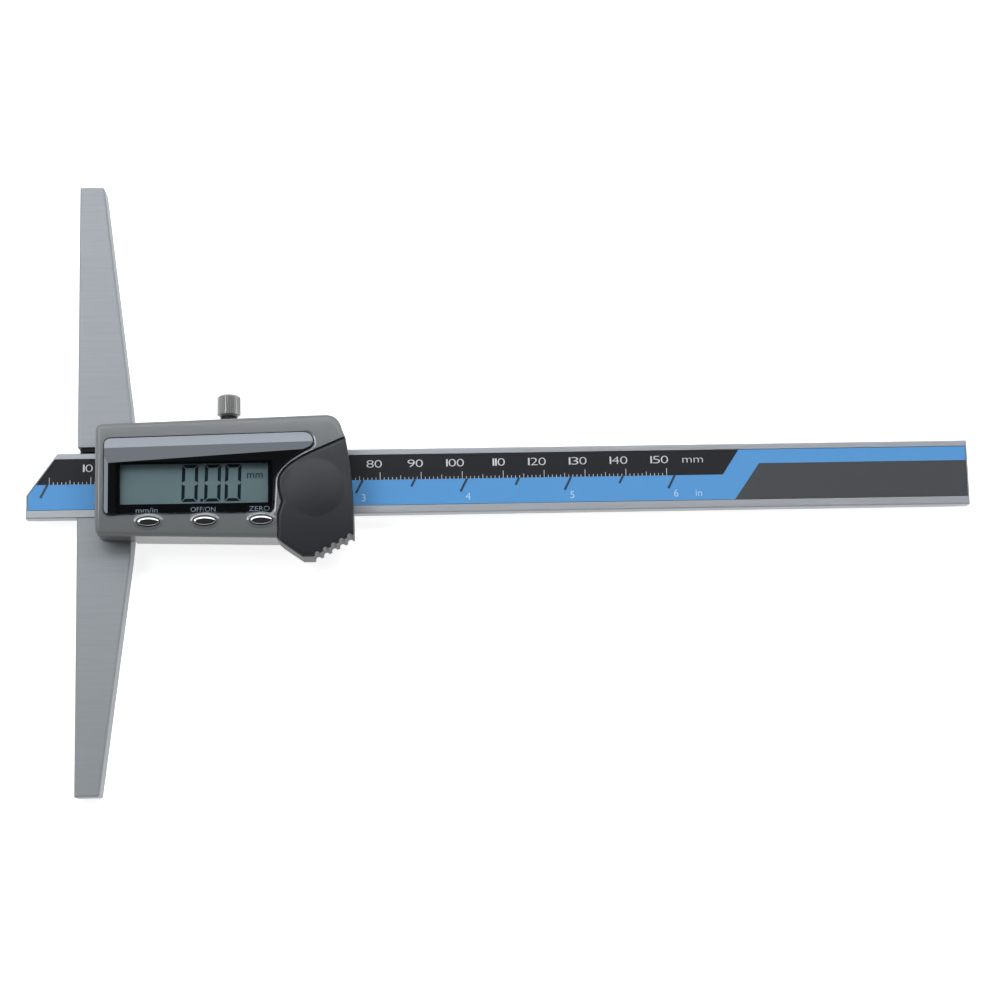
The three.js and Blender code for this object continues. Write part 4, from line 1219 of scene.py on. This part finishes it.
def buildCover():
    c, f = coverShape, framing
    front, plate = head["front"], head["front"] - c["plate"]
    cover = softSlab("battery_cover", coverOutline(), c["low"], front, c["rounding"], c["roundingSteps"])
    cut(cover, slab(inset(headOutline(), head["wall"]), c["low"] - over, plate))
    cut(cover, block(head["cornerX"] - over, head["right"] + over, f["slotBottom"] - f["clear"],
                     f["slotTop"] + f["clear"], c["low"] - over, f["boardBack"] + f["clear"]))
    start = Vector(c["thumbTip"][1:])
    end = Vector((head["right"], head["lowRight"]))
    for i in range(c["grooveCount"]):
        at = start.lerp(end, (i + 0.5) / c["grooveCount"])
        cut(cover, rod(at.x, at.y, c["grooveRadius"], c["low"] - over, front + over, c["grooveSides"]))
    radius = cellRadius + c["domeMargin"]
    profile = [(radius, plate + c["domeRoot"])]
    for share in shares(c["domeSteps"])[:-1]:
        profile.append((radius * (1 - share), front + c["domeHeight"] * (1 - (1 - share) ** 2)))
    join(cover, turned("dome", profile, cellCentre.x, cellCentre.y, fine))
    clean(cover, mergeDistance=0.01, flatAngle=0.2)
    crownFront(cover, c["thumbTip"][2], head["coverTop"][1], c["plate"])
    roundEdges(cover, c["edge"])
    place(shade(cover), "battery_cover_finished", "cover", "battery_cover",
          ["battery_cover"])


buildCover()
say("battery cover")

# Beam with its printed scale

scale = {
    "zeroX": -6.8,
    "length": 150,
    "pitch": 1.0,
    "heights": (0.6, 1.0, 1.8),  # of the short, middle and long ticks
    "every": (5, 10),
    "tickWidth": 0.13,
    "inkHeight": 0.02,
    "numberEvery": 10,
    "numberSize": 2.75,
    "numberY": 4.15,
    "numberEnd": 0.45,  # numbers end this far past their tick
    "digitWidth": 1.75,
    "oneWidth": 0.4,
    "digitGap": 0.22,
    "unitX": 156.5,
    "unitY": 4.2,
    "unitSize": 2.7,
    "unitWidth": 5.0,
    "swell": -0.04,
}
inchScale = {
    "half": 12.7,
    "inches": 6,
    "shift": -0.45,
    "heights": (-2.0, -2.0, -3.6),
    "every": (1, 2),
    "lean": -0.47,
    "tickWidth": 0.55,
    "size": 2.6,
    "digitX": -0.25,
    "digitY": -4.2,
    "unitX": 5.6,  # past the last digit
}


# A row of ticks: every so many of them are middle ones, and every so many of them long.
def tickTree():
    tree, given = startTree(
        "Scale ticks", Int=["Count", "Middle Every", "Long Every"], Vector=["Start", "Step"],
        Float=["Short", "Middle", "Long", "Width", "Ink", "Lean"])
    line = addNode(tree, "GeometryNodeMeshLine", {
        "Count": given["Count"], "Start Location": given["Start"], "Offset": given["Step"],
    }, mode="OFFSET")[0]
    index = addNode(tree, "GeometryNodeInputIndex")[0]
    height = given["Short"]
    for kind in ("Middle", "Long"):
        every = given[kind + " Every"]
        rest = addNode(tree, "ShaderNodeMath", {0: index, 1: every}, operation="MODULO")[0]
        due = addNode(tree, "ShaderNodeMath", {0: rest, 1: 0.5}, operation="LESS_THAN")[0]
        height = addNode(tree, "GeometryNodeSwitch", {
            "Switch": due, "False": height, "True": given[kind]}, input_type="FLOAT")[0]
    size = addNode(tree, "ShaderNodeCombineXYZ", {0: given["Width"], 1: height, 2: given["Ink"]})[0]
    turn = addNode(tree, "ShaderNodeCombineXYZ", {2: given["Lean"]})[0]
    bar = addNode(tree, "GeometryNodeMeshCube", {"Size": (1, 1, 1)})[0]
    seated = addNode(tree, "GeometryNodeTransform", {"Geometry": bar, "Translation": (0, 0.5, 0.5)})[0]
    bars = addNode(tree, "GeometryNodeInstanceOnPoints", {
        "Points": line, "Instance": seated, "Rotation": turn, "Scale": size})[0]
    return endTree(tree, bars, given["Finish"])


def buildScale():
    s, i, tree = scale, inchScale, tickTree()
    low = boxOf("scale_label")[1].z
    high = low + s["inkHeight"]

    def ticks(name, finish, sizes, count, startX, pitch, lean):
        short, middle, long = sizes["heights"]
        middleEvery, longEvery = sizes["every"]
        made = grow(makeObject(name), tree, finish, {
            "Start": Vector((startX, label["boundaryY"], low + backZ)), "Step": Vector((pitch, 0, 0)),
            "Short": short, "Middle": middle, "Long": long, "Width": sizes["tickWidth"],
            "Ink": s["inkHeight"],
        }, {"Count": count, "Middle Every": middleEvery, "Long Every": longEvery, "Lean": lean})
        place(made, name, finish, "sliding_beam")

    ticks("scale_ticks_metric", "filmWhite", s, s["length"] + 1, s["zeroX"], s["pitch"], 0.0)
    ticks("scale_ticks_inch", "filmDark", i, 2 * i["inches"] + 1, s["zeroX"] + i["shift"], i["half"],
          i["lean"])
    numbers = []
    for n in range(s["numberEvery"], s["length"] + 1, s["numberEvery"]):
        right = s["zeroX"] + n + s["numberEnd"]
        for digit in reversed(str(n)):
            width = s["oneWidth"] if digit == "1" else s["digitWidth"]
            middle = right - width / 2
            numbers.append(letter(
                digit, s["numberSize"], middle, s["numberY"], low, high, width, s["swell"]))
            right -= width + s["digitGap"]
    numbers.append(letter("mm", s["unitSize"], s["zeroX"] + s["unitX"], s["unitY"], low, high,
                          s["unitWidth"], s["swell"]))
    place(gather("numbers", numbers), "scale_numbers_metric", "filmWhite", "sliding_beam")
    digitX = [s["zeroX"] + n * 2 * i["half"] + i["digitX"] for n in range(1, i["inches"] + 1)]
    digits = [letter(str(n + 1), i["size"], x, i["digitY"], low, high) for n, x in enumerate(digitX)]
    digits.append(letter("in", i["size"], digitX[-1] + i["unitX"], i["digitY"], low, high))
    place(gather("digits", digits), "scale_numbers_inch", "filmPale", "sliding_beam")
    breakEdges("film", "label_film", 0, "scale_label")
    breakEdges("stripLaminate", "scale_laminate", 0, "scale_strip")
    breakEdges("beamSteel", "beam_steel", 0.06, "beam")


buildScale()
say("beam and scale")

# Crosspiece, frame and gib

crosspiece = {"armStart": 16, "wide": boxOf("crosspiece")[1].x, "waste": 0.55}


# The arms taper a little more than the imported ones.
def slimArms(obj):
    for vertex in obj.data.vertices:
        if abs(vertex.co.y) > crosspiece["armStart"] * mm:
            vertex.co.x *= 1 - crosspiece["waste"] / crosspiece["wide"]


breakEdges("crosspieceSteel", "ground_steel", 0.1, "crosspiece", reshape=slimArms)
breakEdges("frameSteel", "frame_steel", 0.1, "slider_frame")
# The gib's near-black is partly painted shade, for the dark slot over the beam that it sits in.
breakEdges("nearBlackSteel", "blackened_steel", 0.08, "gib")
breakEdges("nearBlackSteel", "blackened_steel", 0.05, "gib_screw_left", "gib_screw_right")
say("crosspiece, frame and gib")

# Lock screw

knob = {
    "count": 40,
    "depth": 0.2,
    "overlap": 1.05,  # of neighbouring ridges
    "radius": 2.85,
    "low": 16.85,
    "length": 5.3,
    "chamfer": 0.45,
    "shankRadius": 1.25,
    "shankChamfer": 0.2,
    "neckLow": 12.95,
    "neckChamfer": 0.15,
    "neckRoot": 0.2,
}


# Ridges round a turned knob. Each is a roof: a cylinder of three sides with its crest outwards.
def knurlTree():
    tree, given = startTree(
        "Straight knurl", Int=["Count"], Float=["Radius", "Length", "Depth", "Width", "Start"])
    ring = addNode(tree, "GeometryNodeMeshCircle", {
        "Vertices": given["Count"], "Radius": given["Radius"]})[0]
    index = addNode(tree, "GeometryNodeInputIndex")[0]
    part = addNode(tree, "ShaderNodeMath", {0: index, 1: given["Count"]}, operation="DIVIDE")[0]
    angle = addNode(tree, "ShaderNodeMath", {0: part, 1: 2 * math.pi}, operation="MULTIPLY")[0]
    turn = addNode(tree, "ShaderNodeCombineXYZ", {2: angle})[0]
    size = addNode(tree, "ShaderNodeCombineXYZ", {
        0: given["Depth"], 1: given["Width"], 2: given["Length"]})[0]
    ridge = addNode(tree, "GeometryNodeMeshCylinder", {"Vertices": 3, "Radius": 1.0, "Depth": 1.0})[0]
    seated = addNode(tree, "GeometryNodeTransform", {"Geometry": ridge, "Translation": (0, 0, 0.5)})[0]
    ridges = addNode(tree, "GeometryNodeInstanceOnPoints", {
        "Points": ring, "Instance": seated, "Rotation": turn, "Scale": size})[0]
    lift = addNode(tree, "ShaderNodeCombineXYZ", {2: given["Start"]})[0]
    lifted = addNode(tree, "GeometryNodeTransform", {"Geometry": ridges, "Translation": lift})[0]
    both = addNode(tree, "GeometryNodeJoinGeometry", {0: [given["Geometry"], lifted]})[0]
    return endTree(tree, both, given["Finish"])


def buildLockScrew():
    k = knob
    inner, chamfer = k["radius"] - k["depth"], k["chamfer"]
    start, end = k["low"], k["low"] + k["length"]
    core = turned("lock_knob", [
        (inner - chamfer, start),
        (inner, start + chamfer),
        (inner, end - chamfer),
        (inner - chamfer, end),
    ], steps=k["count"] * 2)
    grow(core, knurlTree(), "knobSteel", {
        "Radius": inner, "Length": k["length"] - 2 * chamfer, "Depth": k["depth"],
        "Width": math.pi * inner / k["count"] * k["overlap"], "Start": start + chamfer + backZ,
    }, {"Count": k["count"]})
    layAlongY(core, lockPlace.x, lockPlace.z)
    place(shade(core), "lock_knob", "knobSteel", "lock_screw", ["lock_screw"])
    neckLow, neckRadius, shankRadius = k["neckLow"], framing["neckRadius"], k["shankRadius"]
    stem = turned("lock_stem", [
        (shankRadius - k["shankChamfer"], lockLow.y),
        (shankRadius, lockLow.y + k["shankChamfer"]),
        (shankRadius, neckLow),
        (neckRadius - k["neckChamfer"], neckLow),
        (neckRadius, neckLow + k["neckChamfer"]),
        (neckRadius, start + k["neckRoot"]),
    ])
    layAlongY(stem, lockPlace.x, lockPlace.z)
    # The stem's near-black is partly painted shade, for the dark gap under the knob.
    place(shade(stem), "lock_stem", "nearBlackSteel", "lock_screw")


buildLockScrew()
say("lock screw")

# Screws from the back

screw = {
    "Head Radius": 1.3,
    "Head Depth": 1.0,
    "Shank Radius": 0.8,
    "Recess Width": 0.44,
    "Recess Reach": 0.8,
    "Recess Depth": 0.75,
}


def screwTree():
    tree, given = startTree("Countersunk cross head screws", Float=[*screw, "Shank Length"])
    cone = addNode(tree, "GeometryNodeMeshCone", {
        "Vertices": 48, "Radius Top": given["Shank Radius"], "Radius Bottom": given["Head Radius"],
        "Depth": given["Head Depth"]})[0]
    reach, deep = [
        addNode(tree, "ShaderNodeMath", {0: given[name], 1: 2.0}, operation="MULTIPLY")[0]
        for name in ("Recess Reach", "Recess Depth")]
    slots = []
    for x, y in ((reach, given["Recess Width"]), (given["Recess Width"], reach)):
        size = addNode(tree, "ShaderNodeCombineXYZ", {0: x, 1: y, 2: deep})[0]
        slots.append(addNode(tree, "GeometryNodeMeshCube", {"Size": size})[0])
    bored = addNode(tree, "GeometryNodeMeshBoolean", {
        "Mesh 1": cone, "Mesh 2": slots}, operation="DIFFERENCE")[0]
    shank = addNode(tree, "GeometryNodeMeshCylinder", {
        "Vertices": 32, "Radius": given["Shank Radius"], "Depth": given["Shank Length"]})[0]
    half = addNode(tree, "ShaderNodeMath", {
        0: given["Shank Length"], 1: 0.5, 2: given["Head Depth"]}, operation="MULTIPLY_ADD")[0]
    lift = addNode(tree, "ShaderNodeCombineXYZ", {2: half})[0]
    raised = addNode(tree, "GeometryNodeTransform", {"Geometry": shank, "Translation": lift})[0]
    whole = addNode(tree, "GeometryNodeJoinGeometry", {0: [bored, raised]})[0]
    screws = addNode(tree, "GeometryNodeInstanceOnPoints", {
        "Points": given["Geometry"], "Instance": whole})[0]
    return endTree(tree, screws, given["Finish"])


def buildScrews():
    tree = screwTree()
    for start in ("crosspiece_screw", "housing_screw"):
        nodes = [node for node in screwNodes if node.startswith(start)]
        low, high = boxOf(nodes[0])
        points = [(screwPlaces[node].x, screwPlaces[node].y, low.z) for node in nodes]
        lengths = {**screw, "Shank Length": high.z - low.z - screw["Head Depth"]}
        made = grow(makeObject(start, points), tree, "screwSteel", lengths, {})
        place(shade(made), start + "s", "screwSteel", "head", nodes)


buildScrews()
say("screws")

# Inside the head

breakEdges("board", "board_laminate", 0.04, "circuit_board")
breakEdges("chip", "chip_resin", 0.1, "controller_chip")
breakEdges("rubber", "grey_rubber", 0.1, "button_membrane", "zebra_strip_upper", "zebra_strip_lower")
breakEdges("cell", "cell_steel", 0.12, "battery")
breakEdges("brass", "contact_brass", 0.04, "battery_contact_negative", "battery_contact_positive")
say("inner pieces")

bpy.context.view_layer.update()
say("sizes written")
